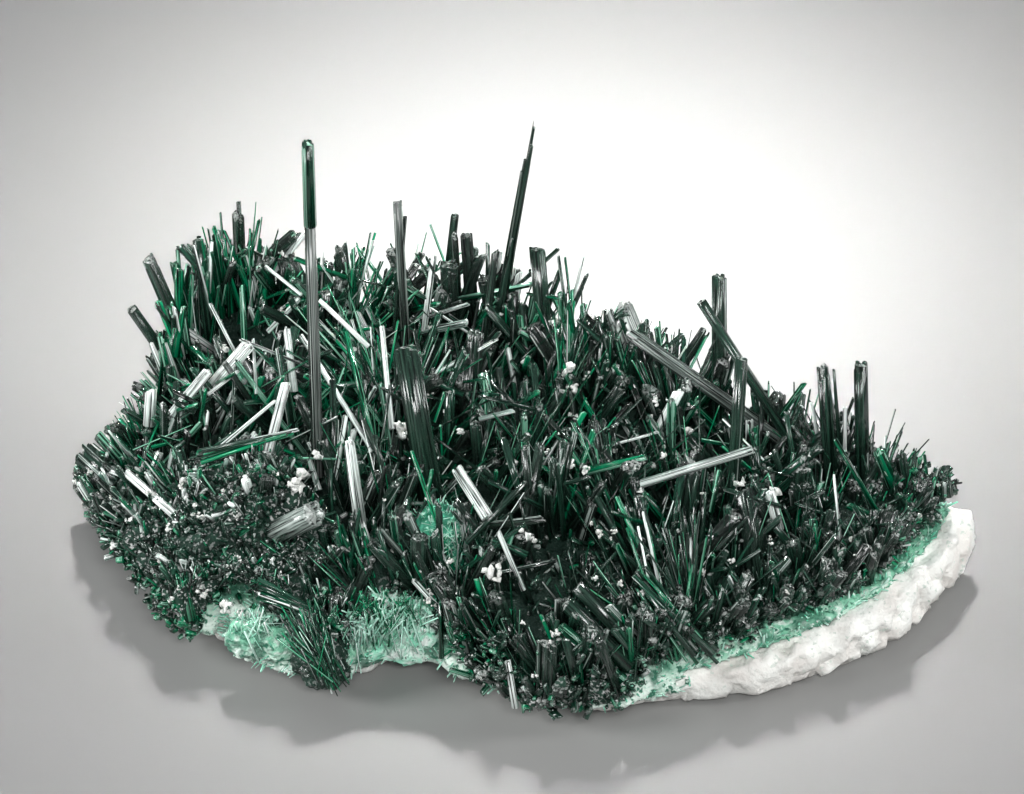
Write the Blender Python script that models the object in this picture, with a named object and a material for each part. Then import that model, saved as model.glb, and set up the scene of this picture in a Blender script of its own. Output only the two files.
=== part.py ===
"""A brochantite specimen: a druse of dark green prisms grown up from a slab of white rock.

The rock is cut flat beneath and rests on that cut. A thin green crust covers its top, and the druse grows
from the crust. Crystals that overlap are one solid with the druse. The large crystals that stand clear of
their neighbours are solids of their own, each in a socket in the druse. Sizes are in millimetres up to
the point where a mesh is made, and +Z is up. The viewer stands at -Y.
"""

import math
import random
from typing import NamedTuple

import bmesh
import bpy
from mathutils import Matrix, Vector, noise
from mathutils.bvhtree import BVHTree

MM = 0.001
GAP = 0.35  # between solids that touch
TO_MIDDLE = Vector((0.26, -0.51, 0.0))  # brings the middle of the whole specimen over the origin

# The edge of the specimen, seen from above and taken counter-clockwise from its right tip.
# x and y: the edge. rock_in, crust_in, druse_in: how far inside it each layer ends.
# rock_top, crust_low, druse_low: where the rock ends above and the other layers end below.
# shoulder: how high the druse stands at the edge.
RIM_FIELDS = ("x", "y", "rock_in", "crust_in", "druse_in", "rock_top", "crust_low", "druse_low", "shoulder")
RIM = (
    (39.9, 0.0, 0.0, 1.4, 2.3, 6.2, 3.5, 5.4, 9.5),
    (38.0, 2.0, 0.3, 1.2, 1.8, 6.0, 3.5, 5.4, 10.0),
    (34.0, 3.0, 1.0, 0.8, 0.4, 5.2, 3.4, 5.0, 11.3),
    (30.0, 5.5, 1.6, 0.8, 0.2, 4.8, 3.2, 4.6, 12.5),
    (24.0, 7.0, 1.8, 0.8, 0.2, 4.6, 3.2, 4.6, 14.0),
    (18.5, 10.5, 1.8, 0.8, 0.2, 4.6, 3.2, 4.6, 15.5),
    (12.0, 13.0, 1.8, 0.8, 0.2, 4.6, 3.2, 4.6, 15.0),
    (6.5, 16.5, 1.8, 0.8, 0.2, 4.8, 3.2, 4.8, 16.5),
    (2.0, 20.0, 1.8, 0.8, 0.2, 5.0, 3.4, 5.0, 17.5),
    (-3.0, 22.0, 1.8, 0.8, 0.2, 5.0, 3.4, 5.0, 17.5),
    (-10.0, 24.0, 1.8, 0.8, 0.2, 5.0, 3.4, 5.0, 18.0),
    (-17.0, 25.0, 1.8, 0.8, 0.2, 5.0, 3.4, 5.0, 18.0),
    (-23.0, 26.0, 1.8, 0.8, 0.2, 5.0, 3.4, 5.0, 18.5),
    (-28.0, 26.5, 2.0, 0.9, 0.2, 4.8, 3.2, 4.6, 18.0),
    (-30.5, 24.5, 2.2, 1.0, 0.2, 4.6, 3.0, 4.2, 16.0),
    (-33.0, 19.0, 2.6, 1.2, 0.2, 4.2, 2.6, 3.4, 11.5),
    (-35.0, 14.0, 4.5, 2.5, 0.2, 3.8, 2.2, 2.6, 9.0),
    (-38.0, 10.5, 5.2, 3.2, 0.2, 3.6, 2.0, 2.0, 7.0),
    (-40.0, 8.5, 6.0, 4.0, 0.2, 3.6, 2.0, 2.2, 5.8),
    (-38.8, 4.5, 5.6, 3.6, 0.2, 3.6, 1.8, 1.6, 7.8),
    (-37.0, -1.0, 5.2, 3.2, 0.2, 3.4, 1.6, 1.3, 8.8),
    (-33.8, -8.0, 5.0, 3.0, 0.2, 3.2, 1.5, 1.2, 8.0),
    (-30.9, -14.0, 4.8, 2.8, 0.2, 3.2, 1.5, 1.2, 7.3),
    (-27.0, -12.0, 4.0, 0.6, 1.4, 3.2, 1.4, 3.8, 8.3),
    (-23.5, -18.0, 4.4, 0.2, 2.2, 3.2, 1.3, 4.4, 8.3),
    (-19.5, -18.5, 4.2, 0.2, 2.0, 3.2, 1.3, 4.0, 8.3),
    (-17.0, -20.0, 4.2, 0.6, 0.8, 3.2, 1.3, 2.0, 8.3),
    (-13.5, -17.5, 3.6, 0.2, 1.8, 3.2, 1.4, 4.4, 8.8),
    (-11.0, -15.5, 3.2, 0.2, 2.2, 3.4, 1.5, 5.0, 9.6),
    (-8.0, -17.5, 3.4, 0.6, 1.0, 3.4, 1.4, 3.0, 9.6),
    (-4.5, -22.0, 4.4, 2.4, 0.2, 3.2, 1.4, 1.2, 9.6),
    (1.5, -25.0, 4.6, 2.6, 0.2, 3.0, 1.4, 1.2, 9.6),
    (6.0, -26.3, 4.4, 2.4, 0.2, 3.0, 1.4, 1.2, 9.6),
    (12.0, -22.5, 2.2, 0.8, 0.6, 3.0, 1.4, 1.6, 10.0),
    (18.0, -20.5, 0.4, 0.8, 1.8, 3.4, 1.6, 3.2, 10.0),
    (24.0, -18.5, 0.0, 1.0, 2.2, 4.2, 2.0, 4.2, 10.0),
    (28.5, -16.0, 0.0, 1.2, 2.2, 4.8, 2.4, 4.8, 10.0),
    (33.0, -12.0, 0.0, 1.3, 2.3, 5.2, 2.8, 5.2, 10.5),
    (37.5, -6.0, 0.0, 1.4, 2.3, 6.0, 3.2, 5.4, 10.0),
)
CENTRE = Vector((-4.0, -1.0))
ROCK_MIDDLE = 4.6
CRUST_MIDDLE = 5.9
CRUST_BOTTOM = 3.3  # before the rock is taken out of it
CRUST_ON_ROCK = 0.9
DRUSE_MIDDLE = 16.4
INSIDE_CRUST = 4.9  # a height that is inside the crust everywhere
BODY_SHARE = 0.55  # the druse is fused up to this share of its height, and single crystals above
ROOT_DEPTH = 0.4  # how deep a crystal's foot is in the fused druse at least
SEAT_DEPTH = 0.8  # the same for the crystals that stand clear
BODY_INSET = 0.5  # how far the tips of the outer crystals stand out from the fused druse

TURNS = 44  # points round each ring
UPRIGHT_CRYSTALS = 58
EDGE_CRYSTALS = 42
SIDE_CRYSTALS = 42
SEED = 24


class Crystal(NamedTuple):
    foot: tuple
    tip: tuple
    width: float
    thick: float
    narrowing: float = 0.9  # the head's width over the foot's
    slope: float = 0.2  # how steeply the head slants
    peak: float = 0.3  # how far the middle of the head stands up
    sides: int = 6
    roll: float = 0.0


class Surfaces(NamedTuple):
    body: BVHTree
    crust: BVHTree


# Crystals that stand clear of their neighbours
LONE_CRYSTALS = {
    "tall_prism": Crystal((-18.1, 1.1, 12.0), (-18.8, 5.3, 42.2), 1.25, 1.05, 0.9, 0.3, 0.5),
    "spire": Crystal((-2.4, 16.9, 14.0), (0.9, 18.0, 35.8), 1.25, 0.9, 0.1, 0.0, 0.4),
    "upper_horn": Crystal((-30.0, 20.0, 9.4), (-33.6, 20.6, 19.6), 1.7, 1.3, 0.8, 0.2, 0.3),
    "lower_horn": Crystal((-30.8, 17.6, 8.4), (-35.2, 18.2, 15.8), 1.1, 1.0, 0.9, 0.4, 0.3),
    "twin_prism": Crystal((-10.6, 16.7, 14.0), (-11.2, 16.9, 28.0), 0.95, 0.8, 0.95, 0.2, 0.3),
    "domed_prism": Crystal((2.0, 14.9, 12.4), (1.1, 17.4, 22.9), 1.6, 1.4, 0.85, 0.1, 0.5),
    "long_bar": Crystal((21.5, 4.9, 11.5), (8.6, 6.3, 21.5), 1.5, 1.1, 0.8, 0.5, 0.2),
    "tower_prism": Crystal((17.3, 7.4, 12.0), (17.2, 9.8, 24.6), 1.5, 1.3, 0.85, -0.5, 0.3),
    "cross_bar": Crystal((21.6, 4.4, 14.3), (15.3, 6.8, 24.4), 1.1, 0.9, 0.9, 0.3, 0.2),
    "dark_prism": Crystal((18.4, -3.0, 12.2), (19.0, 0.2, 23.0), 1.2, 1.1, 0.95, 0.2, 0.3),
    "wedge_crystal": Crystal((27.2, 2.6, 10.0), (26.3, 3.9, 19.9), 2.3, 1.6, 0.25, 0.4, 0.2),
    "right_prism": Crystal((29.9, 2.6, 9.4), (29.5, 4.4, 19.4), 1.3, 1.2, 0.95, 0.1, 0.4),
    "slanting_rod": Crystal((3.5, -6.9, 11.5), (20.0, -11.3, 21.0), 0.8, 0.7, 0.9, 0.3, 0.2),
    "pale_slab": Crystal((-14.3, -8.4, 11.0), (-15.3, -8.0, 20.0), 1.5, 0.8, 0.8, 0.9, 0.1),
    "broad_prism": Crystal((-8.4, -2.8, 12.0), (-10.5, 2.7, 22.8), 2.5, 1.9, 0.95, 0.25, 0.2),
    "blocky_crystal": Crystal((-20.6, -9.0, 11.0), (-17.8, -14.2, 16.4), 2.7, 2.3, 0.9, 0.15, 0.3),
}
# Crystals of the druse that are placed by hand
GROWN_CRYSTALS = (
    Crystal((-7.0, 22.0, 15.0), (-6.0, 22.4, 22.4), 1.2, 1.0),
    Crystal((-4.6, 19.5, 15.0), (-5.1, 19.5, 22.1), 1.4, 1.2),
    Crystal((-8.7, 17.7, 13.0), (-8.0, 20.7, 19.8), 1.0, 0.8),
    Crystal((-25.2, 24.0, 14.0), (-25.4, 25.2, 22.4), 1.0, 0.8),
    Crystal((-28.4, 21.6, 12.0), (-29.2, 23.6, 19.6), 1.3, 1.0),
    Crystal((5.0, 14.6, 12.0), (3.2, 17.0, 22.0), 1.0, 0.7),
    Crystal((10.1, 11.2, 12.6), (8.0, 13.8, 17.9), 2.7, 2.2),
    Crystal((15.4, 8.6, 12.0), (15.4, 9.0, 19.0), 2.6, 1.6),
    Crystal((21.0, 6.2, 10.0), (21.6, 7.4, 15.8), 1.8, 1.2),
    Crystal((24.2, 5.4, 9.6), (24.6, 6.6, 14.8), 2.0, 1.4),
    Crystal((28.2, 4.6, 9.0), (28.2, 5.4, 13.8), 1.7, 1.3),
    Crystal((12.3, 1.9, 12.0), (13.6, 1.9, 18.4), 1.3, 0.9),
    Crystal((-36.0, 4.8, 4.4), (-40.0, 8.2, 6.8), 2.0, 1.5),
    Crystal((-27.0, 9.0, 11.0), (-24.0, 8.8, 17.9), 1.3, 0.9),
    Crystal((-30.5, 8.4, 8.0), (-28.3, 8.6, 14.6), 1.3, 0.8),
    Crystal((-30.1, -4.4, 7.0), (-34.6, 1.6, 9.6), 1.2, 0.9),
    Crystal((-19.6, -1.4, 11.4), (-27.4, -1.6, 13.6), 1.5, 1.0),
    Crystal((-14.8, 0.9, 11.6), (-19.2, 8.4, 18.4), 1.0, 0.8),
    Crystal((-3.0, -11.5, 10.4), (-5.6, -9.6, 17.6), 1.5, 1.1),
    Crystal((4.0, -6.0, 11.0), (2.6, -7.4, 18.6), 2.0, 1.6),
    Crystal((20.0, -10.6, 8.0), (18.9, -9.8, 16.4), 1.9, 1.5),
    Crystal((21.0, -7.6, 9.0), (21.9, -8.2, 15.6), 1.3, 1.0),
    Crystal((13.6, -16.4, 5.6), (9.7, -16.6, 12.9), 1.9, 1.3),
    Crystal((12.2, -16.2, 7.6), (11.4, -13.0, 15.1), 1.2, 0.8),
    Crystal((8.0, -18.4, 6.0), (1.8, -20.8, 10.0), 2.6, 1.8),
    Crystal((-17.0, -14.2, 6.0), (-22.4, -15.2, 9.3), 1.5, 1.1),
    Crystal((-16.8, -15.2, 6.0), (-18.2, -17.8, 8.0), 2.0, 1.4),
    Crystal((-28.0, -8.0, 5.8), (-29.6, -11.4, 8.9), 1.6, 1.2),
)

COLOURS = {
    "white_rock": ((0.80, 0.78, 0.74), 0.85),
    "green_crust": ((0.32, 0.62, 0.50), 0.70),
    "dark_crystal": ((0.010, 0.055, 0.034), 0.18),
    "green_crystal": ((0.020, 0.130, 0.075), 0.16),
    "pale_crystal": ((0.30, 0.38, 0.34), 0.25),
}
LONE_COLOURS = {"tall_prism": "green_crystal", "slanting_rod": "pale_crystal", "pale_slab": "pale_crystal"}


def clear_scene():
    for obj in list(bpy.data.objects):
        bpy.data.objects.remove(obj)


def new_collection(name):
    collection = bpy.data.collections.new(name)
    bpy.context.scene.collection.children.link(collection)
    return collection


def make_materials():
    made = {}
    for name, (colour, roughness) in COLOURS.items():
        material = bpy.data.materials.new(name)
        material.use_nodes = True
        shader = material.node_tree.nodes["Principled BSDF"]
        shader.inputs["Base Color"].default_value = (*colour, 1.0)
        shader.inputs["Roughness"].default_value = roughness
        shader.inputs["Metallic"].default_value = 0.0
        made[name] = material
    return made


def rim_lengths():
    """How far along the edge each point of the rim is, and the edge's whole length."""
    along = [0.0]
    for here, after in zip(RIM, RIM[1:] + RIM[:1]):
        along.append(along[-1] + math.dist(here[:2], after[:2]))
    return along


RIM_ALONG = rim_lengths()


def rim_at(turn):
    """The rim's values at a share of the way round, on a smooth curve through its points."""
    where = (turn % 1.0) * RIM_ALONG[-1]
    index = max(i for i in range(len(RIM)) if RIM_ALONG[i] <= where)
    step = (where - RIM_ALONG[index]) / (RIM_ALONG[index + 1] - RIM_ALONG[index])
    a, b, c, d = (RIM[(index + shift) % len(RIM)] for shift in (-1, 0, 1, 2))
    values = []
    for p, q, r, s in zip(a, b, c, d):
        bend = 0.5 * ((r - p) + step * ((2 * p - 5 * q + 4 * r - s) + step * (3 * (q - r) + s - p)))
        values.append(q + step * bend)
    rim = dict(zip(RIM_FIELDS, values))
    rim["reach"] = (Vector((rim["x"], rim["y"])) - CENTRE).length
    return rim


def edge_point(rim, inset):
    """The point of the rim moved inwards by inset, towards the specimen's centre."""
    edge = Vector((rim["x"], rim["y"]))
    return edge + (CENTRE - edge).normalized() * inset


def smooth(value):
    value = min(1.0, max(0.0, value))
    return value * value * (3 - 2 * value)


def tip_height(rim, share):
    """How high the crystals' tips reach, at a share of the way from the centre to the edge."""
    return rim["shoulder"] + (DRUSE_MIDDLE - rim["shoulder"]) * smooth((1 - share) / 0.5)


def body_height(rim, share):
    """How high the druse is fused."""
    low = INSIDE_CRUST + (rim["druse_low"] - INSIDE_CRUST) * share
    return low + (tip_height(rim, share) - low) * BODY_SHARE


# Each profile gives its rings from the bottom up, as (share of the way to the layer's edge, height)
def rock_profile(rim):
    top = rim["rock_top"]
    return [
        (0.0, 0.0), (0.45, 0.0), (0.8, 0.0), (0.94, 0.0), (0.99, 0.22 * top),
        (1.0, 0.6 * top), (0.985, top), (0.86, 0.5 * (top + ROCK_MIDDLE)), (0.5, ROCK_MIDDLE), (0.0, ROCK_MIDDLE),
    ]


def crust_profile(rim):
    low = rim["crust_low"]
    top = rim["rock_top"] + CRUST_ON_ROCK
    return [
        (0.0, CRUST_BOTTOM), (0.7, CRUST_BOTTOM), (0.95, low), (1.0, low + 0.25 * (top - low)),
        (0.975, top), (0.86, 0.5 * (top + CRUST_MIDDLE)), (0.5, CRUST_MIDDLE), (0.0, CRUST_MIDDLE),
    ]


def druse_profile(rim):
    low = rim["druse_low"]
    in_crust_edge = 0.5 * (rim["crust_low"] + rim["rock_top"] + CRUST_ON_ROCK)
    overhang = min(0.95, 1 - (rim["crust_in"] - rim["druse_in"]) / rim["reach"])
    rings = [(0.0, INSIDE_CRUST), (0.5, INSIDE_CRUST), (overhang - 0.07, in_crust_edge), (overhang, low)]
    rings.append((1.0, low + 0.25 * (body_height(rim, 1.0) - low)))
    for share in (0.97, 0.86, 0.7, 0.5, 0.28, 0.0):
        rings.append((share, body_height(rim, share)))
    return rings


def sway(point):
    """A shift that varies smoothly from place to place."""
    return Vector([noise.noise(point + Vector((shift, 2 * shift, -shift))) for shift in (0.0, 31.4, 57.2)])


def add_lump(name, collection, profile, inset_field, rough=0.0, grow=0.0, inset=0.0):
    """A sphere whose rings are moved onto the rim's outline, each to its place in the profile."""
    rings = len(profile(rim_at(0.0)))
    bm = bmesh.new()
    bmesh.ops.create_uvsphere(bm, u_segments=TURNS, v_segments=rings - 1, radius=1.0)
    for vert in bm.verts:
        turn = math.atan2(vert.co.y, vert.co.x) / math.tau % 1.0
        ring = round((1 + math.asin(max(-1.0, min(1.0, vert.co.z))) / (math.pi / 2)) / 2 * (rings - 1))
        rim = rim_at(turn)
        share, height = profile(rim)[ring]
        edge = edge_point(rim, rim[inset_field] + inset)
        place = CENTRE + (edge - CENTRE) * share
        vert.co = Vector((place.x, place.y, height))
    bm.normal_update()
    moves = {}
    for vert in bm.verts:
        rise = sway(vert.co * 0.21) + 0.6 * sway(vert.co * 0.55)
        base = vert.co.z < 0.01
        moves[vert] = rise * (0.0 if base else rough) + vert.normal * grow
    for vert, move in moves.items():
        vert.co = (vert.co + move) * MM
    return finish_mesh(name, bm, collection)


def add_crystal(name, collection, crystal, grow=0.0):
    """A prism from foot to tip, with a head that slopes and rises to a low point."""
    foot, tip = Vector(crystal.foot), Vector(crystal.tip)
    axis = tip - foot
    bm = bmesh.new()
    bmesh.ops.create_cone(
        bm, cap_ends=True, cap_tris=True, segments=crystal.sides, radius1=1.0, radius2=1.0, depth=2.0,
    )
    for vert in bm.verts:
        top = vert.co.z > 0
        middle = vert.co.xy.length < 0.1
        scale = crystal.narrowing if top else 1.0
        half_width, half_thick = scale * crystal.width / 2 + grow, scale * crystal.thick / 2 + grow
        height = -grow
        if top:
            slant = crystal.slope * half_width * (vert.co.x - 1)
            height = axis.length + grow + slant - (0.0 if middle else crystal.peak)
        vert.co = Vector((vert.co.x * half_width, vert.co.y * half_thick, height)) * MM
    obj = finish_mesh(name, bm, collection)
    obj.location = foot * MM
    obj.rotation_mode = "QUATERNION"
    roll = Matrix.Rotation(crystal.roll, 3, "Z").to_quaternion()
    obj.rotation_quaternion = axis.to_track_quat("Z", "Y") @ roll
    return obj


def finish_mesh(name, bm, collection):
    bmesh.ops.triangulate(bm, faces=bm.faces)
    mesh = bpy.data.meshes.new(name)
    bm.to_mesh(mesh)
    bm.free()
    obj = bpy.data.objects.new(name, mesh)
    collection.objects.link(obj)
    return obj


def hide_helpers(collection):
    collection.hide_render = True
    for obj in collection.objects:
        obj.hide_render = True
        obj.display_type = "WIRE"


def add_boolean(obj, name, operation, other):
    modifier = obj.modifiers.new(name, "BOOLEAN")
    modifier.operation = operation
    modifier.solver = "EXACT"
    if isinstance(other, bpy.types.Collection):
        modifier.operand_type = "COLLECTION"
        modifier.collection = other
    else:
        modifier.object = other


def distance_between(p1, q1, p2, q2):
    """The least distance between two straight stretches, tried at points along the first."""
    least = math.inf
    along = q2 - p2
    for step in range(9):
        point = p1.lerp(q1, step / 8)
        share = min(1.0, max(0.0, (point - p2).dot(along) / along.length_squared))
        least = min(least, (point - p2.lerp(q2, share)).length)
    return least


def clear_of_lone_crystals(crystal):
    foot, tip = Vector(crystal.foot), Vector(crystal.tip)
    for lone in LONE_CRYSTALS.values():
        room = 0.5 * (crystal.width + lone.width) + 0.8
        if distance_between(foot, tip, Vector(lone.foot), Vector(lone.tip)) < room:
            return False
    return True


def random_head(chance):
    return {
        "narrowing": chance.uniform(0.7, 1.0), "slope": chance.uniform(-0.7, 0.7),
        "peak": chance.uniform(0.1, 0.5), "roll": chance.uniform(0, math.tau),
        "sides": chance.choice((4, 4, 6)),
    }


def upright_crystal(chance, nearest=0.0, inset=0.6, rise=(-1.2, 1.2)):
    """A crystal whose tip is on top of the druse, leaning out more towards the edge.

    nearest is the share of the way to the edge where such crystals begin, and rise is how far the tip may
    be from the druse's height there.
    """
    rim, share = rim_at(chance.random()), math.sqrt(chance.uniform(nearest * nearest, 1.0))
    edge = edge_point(rim, rim["druse_in"] + inset)
    outward = (edge - CENTRE).normalized()
    lean = smooth((share - 0.4) / 0.6) * (0.9 if outward.y < 0.2 else 0.3)
    axis = outward.to_3d() * lean + Vector((chance.gauss(0, 0.26), chance.gauss(0, 0.26), 1.0))
    place = CENTRE + (edge - CENTRE) * share
    height = tip_height(rim, share)
    tip = Vector((place.x, place.y, height + chance.uniform(*rise)))
    length = (height - body_height(rim, share) + 0.9) * axis.length + chance.uniform(0.0, 1.2)
    width = chance.uniform(1.5, 3.0)
    foot = tip - axis.normalized() * length
    return Crystal(foot, tip, width, width * chance.uniform(0.5, 0.95), **random_head(chance))


def edge_crystal(chance):
    """A crystal that reaches the druse's full height close to its edge."""
    return upright_crystal(chance, nearest=0.94, inset=0.2, rise=(-0.2, 0.8))


def side_crystal(chance):
    """A crystal that points outwards from the side of the druse."""
    turn = chance.random()
    rim, rim_by_tip = rim_at(turn), rim_at(turn + chance.gauss(0, 0.008))
    share = chance.uniform(0.78, 0.9)
    edge = edge_point(rim, rim["druse_in"] + BODY_INSET)
    foot = (CENTRE + (edge - CENTRE) * share).to_3d()
    foot.z = body_height(rim, share) - chance.uniform(0.7, 1.0)
    low = rim_by_tip["druse_low"] + 0.5
    tip = edge_point(rim_by_tip, rim_by_tip["druse_in"]).to_3d()
    tip.z = low + chance.random() * (rim_by_tip["shoulder"] - low)
    width = chance.uniform(1.4, 2.4)
    return Crystal(foot, tip, width, width * chance.uniform(0.5, 0.95), **random_head(chance))


def depth_in(surface, point):
    """How deep a point is under a closed surface, in millimetres, or minus its distance outside."""
    place, normal, _, _ = surface.find_nearest(point * MM)
    return (place - point * MM).dot(normal) / MM


def rooted(crystal, surfaces, depth):
    """Whether a crystal's foot is deep enough in the fused body and clear of the crust."""
    foot = Vector(crystal.foot)
    return depth_in(surfaces.body, foot) > depth and depth_in(surfaces.crust, foot) < -GAP


def lengthen_to_root(crystal, surfaces, depth):
    """The crystal with its foot moved down along it until it is rooted, or unchanged where it never is."""
    down = (Vector(crystal.foot) - Vector(crystal.tip)).normalized()
    for step in range(16):
        longer = crystal._replace(foot=Vector(crystal.foot) + down * 0.5 * step)
        if rooted(longer, surfaces, depth):
            return longer
    return crystal


def spread_crystals(chance, surfaces):
    """The druse's other large crystals, spread evenly over it."""
    taken = []
    kinds = (
        (side_crystal, SIDE_CRYSTALS, 3.0), (edge_crystal, EDGE_CRYSTALS, 2.8),
        (upright_crystal, UPRIGHT_CRYSTALS, 3.6),
    )
    for make, wanted, apart in kinds:
        count = 0
        while count < wanted:
            crystal = make(chance)
            crowded = any((crystal.tip - other.tip).length < apart for other in taken)
            if not crowded and rooted(crystal, surfaces, ROOT_DEPTH) and clear_of_lone_crystals(crystal):
                taken.append(crystal)
                count += 1
    return taken


def build_rock(parts, materials):
    rock = add_lump("matrix_rock", parts, rock_profile, "rock_in", rough=0.35)
    rock.data.materials.append(materials["white_rock"])


def build_crust(parts, helpers, materials):
    crust = add_lump("green_crust", parts, crust_profile, "crust_in", rough=0.22)
    crust.data.materials.append(materials["green_crust"])
    rock_room = add_lump("rock_room", helpers, rock_profile, "rock_in", rough=0.35, grow=GAP)
    add_boolean(crust, "leaves_the_rock", "DIFFERENCE", rock_room)
    return crust


def build_druse_body(parts, materials):
    druse = add_lump("crystal_druse", parts, druse_profile, "druse_in", rough=0.5, inset=BODY_INSET)
    druse.data.materials.append(materials["dark_crystal"])
    return druse


def surface_of(obj):
    mesh = obj.data
    return BVHTree.FromPolygons([vert.co for vert in mesh.vertices], [face.vertices for face in mesh.polygons])


def build_lone_crystals(parts, sockets, surfaces, materials):
    for name, crystal in LONE_CRYSTALS.items():
        longer = lengthen_to_root(crystal, surfaces, SEAT_DEPTH)
        obj = add_crystal(name, parts, longer)
        obj.data.materials.append(materials[LONE_COLOURS.get(name, "dark_crystal")])
        add_crystal(f"{name}_socket", sockets, longer, grow=GAP)


def grow_druse(druse, surfaces, helpers, grown, sockets):
    """Join the crystals that overlap with the body, and leave room for what it grows on and around."""
    placed = [lengthen_to_root(crystal, surfaces, ROOT_DEPTH) for crystal in GROWN_CRYSTALS]
    for index, crystal in enumerate(placed + spread_crystals(random.Random(SEED), surfaces)):
        add_crystal(f"grown_{index:03d}", grown, crystal)
    add_boolean(druse, "grown_together", "UNION", grown)
    crust_room = add_lump("crust_room", helpers, crust_profile, "crust_in", rough=0.22, grow=GAP)
    add_boolean(druse, "leaves_the_crust", "DIFFERENCE", crust_room)
    add_boolean(druse, "leaves_the_rock", "DIFFERENCE", bpy.data.objects["rock_room"])
    add_boolean(druse, "sockets", "DIFFERENCE", sockets)


def move_to_middle(collections):
    """Put everything, rooms and sockets too, under one empty that centres the whole."""
    specimen = bpy.data.objects.new("specimen", None)
    specimen.location = TO_MIDDLE * MM
    for collection in collections:
        for obj in collection.objects:
            obj.parent = specimen
    collections[0].objects.link(specimen)


def main():
    clear_scene()
    parts = new_collection("brochantite_specimen")
    helpers = new_collection("rooms_for_neighbours")
    grown = new_collection("crystals_grown_together")
    sockets = new_collection("sockets")
    materials = make_materials()
    build_rock(parts, materials)
    crust = build_crust(parts, helpers, materials)
    druse = build_druse_body(parts, materials)
    surfaces = Surfaces(surface_of(druse), surface_of(crust))
    build_lone_crystals(parts, sockets, surfaces, materials)
    grow_druse(druse, surfaces, helpers, grown, sockets)
    for collection in (helpers, grown, sockets):
        hide_helpers(collection)
    move_to_middle((parts, helpers, grown, sockets))


main()
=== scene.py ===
"""The looks of a brochantite specimen: white rock, turquoise crust and a druse of dark green prisms.

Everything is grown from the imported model. The druse's solid gives three height fields: how high the
tips reach, how high the crystals are fused, and where the druse ends underneath. Crystals are rooted in
the fused part and cut to length under the tips. Lengths are in millimetres up to the point where a mesh
is made, +Z is up and the viewer stands at -Y.
"""

import math
import warnings
from typing import NamedTuple

import bmesh
import bpy
import numpy as np
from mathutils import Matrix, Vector, noise
from mathutils.bvhtree import BVHTree
from mathutils.kdtree import KDTree


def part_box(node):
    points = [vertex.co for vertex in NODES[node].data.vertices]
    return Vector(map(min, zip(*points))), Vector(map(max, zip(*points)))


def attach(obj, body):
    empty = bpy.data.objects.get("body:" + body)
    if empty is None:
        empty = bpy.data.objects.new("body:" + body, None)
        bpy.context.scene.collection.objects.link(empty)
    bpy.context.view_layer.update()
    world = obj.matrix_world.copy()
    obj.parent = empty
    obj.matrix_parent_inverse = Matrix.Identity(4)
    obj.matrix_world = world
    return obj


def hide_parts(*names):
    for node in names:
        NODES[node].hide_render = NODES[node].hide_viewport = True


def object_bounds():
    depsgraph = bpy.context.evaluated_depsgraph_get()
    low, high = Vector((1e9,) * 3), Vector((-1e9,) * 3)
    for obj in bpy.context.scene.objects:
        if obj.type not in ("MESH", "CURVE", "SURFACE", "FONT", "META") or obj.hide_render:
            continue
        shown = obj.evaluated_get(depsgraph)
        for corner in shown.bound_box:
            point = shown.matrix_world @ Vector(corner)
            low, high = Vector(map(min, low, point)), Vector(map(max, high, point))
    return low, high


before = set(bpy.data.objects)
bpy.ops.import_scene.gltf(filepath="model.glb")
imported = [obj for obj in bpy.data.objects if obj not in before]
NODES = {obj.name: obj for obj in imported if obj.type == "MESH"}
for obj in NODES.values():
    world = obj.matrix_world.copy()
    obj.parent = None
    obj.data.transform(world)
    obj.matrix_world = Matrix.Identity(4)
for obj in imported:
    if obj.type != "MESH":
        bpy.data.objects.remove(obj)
CAD_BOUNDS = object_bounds()
MM = 0.001
SEED = 7

# The photograph's view: the picture's middle, its width there, and the angle that it looks down at
VIEW_CENTRE = Vector((-0.79, -0.51, 18.5))
VIEW_WIDTH = 89.6
VIEW_ELEVATION = math.radians(35)
VIEW_DISTANCE = 900.0
TO_VIEWER = np.array((0.0, -math.cos(VIEW_ELEVATION), math.sin(VIEW_ELEVATION)))
SENSOR = 36.0


# Height fields

GRID = 0.5  # between the fields' points
FIELD_MARGIN = 3.0  # how far the fields go past the druse
CLEAR = 5.0  # how far above and below the druse the rays start
FIELD_BLUR = 1.0  # the radius over which they are smoothed, and the same for the body's field
BODY_BLUR = 1.5
BODY_INSET = 0.5  # how far inside the outline the fused body ends
BODY_EDGE = 1.8  # and over what width it rises to its full height
TIP_REACH = 2.5  # the tips' field is the highest point this near
BODY_REACH = 1.5  # and the fused body's field is the lowest point this near
MOST_FUSED = 0.16  # how high most crystals are fused, over the height from the underside to the tips
FINE_FUSED = 0.78  # the same in the fine-grained zone
RIM_FUSED = 0.6  # and near the druse's edge
RIM_INNER = 9.0  # how far from the edge that begins to rise
RIM_BLEND = 5.0  # and over what width it does
BODY_GRID = 0.3  # between the points of the fused body's mesh
BODY_LIFT = 0.3  # how far above the druse's underside it ends
BODY_MOTTLED = 3.4  # how far from the edge it is mottled
MOTTLED_BLEND = 1.6  # and over what width that fades in
OVERHANG = 1.0  # how far crystals may pass the druse's outline
BOX_MARGIN = 0.4  # how far their tips stay inside the whole model's box
LOWEST = 0.2  # the lowest that a tip may be


class Zone(NamedTuple):
    """An ellipse, seen from above."""

    x: float
    y: float
    reach_x: float
    reach_y: float


FINE_GRAINED = Zone(-27.5, -8.5, 12.5, 12.5)
CRUMBS_AND_GLINTS_ZONE = Zone(10.0, -1.0, 9.0, 9.0)  # where more white crumbs stick, some of them painted glints
# Where the crust shows: a pocket among the crystals, and two lobes at the front
BARE = (Zone(-7.4, -9.0, 4.2, 3.4), Zone(-10.8, -15.8, 4.4, 2.6), Zone(-22.6, -18.6, 3.0, 1.6))


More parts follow.
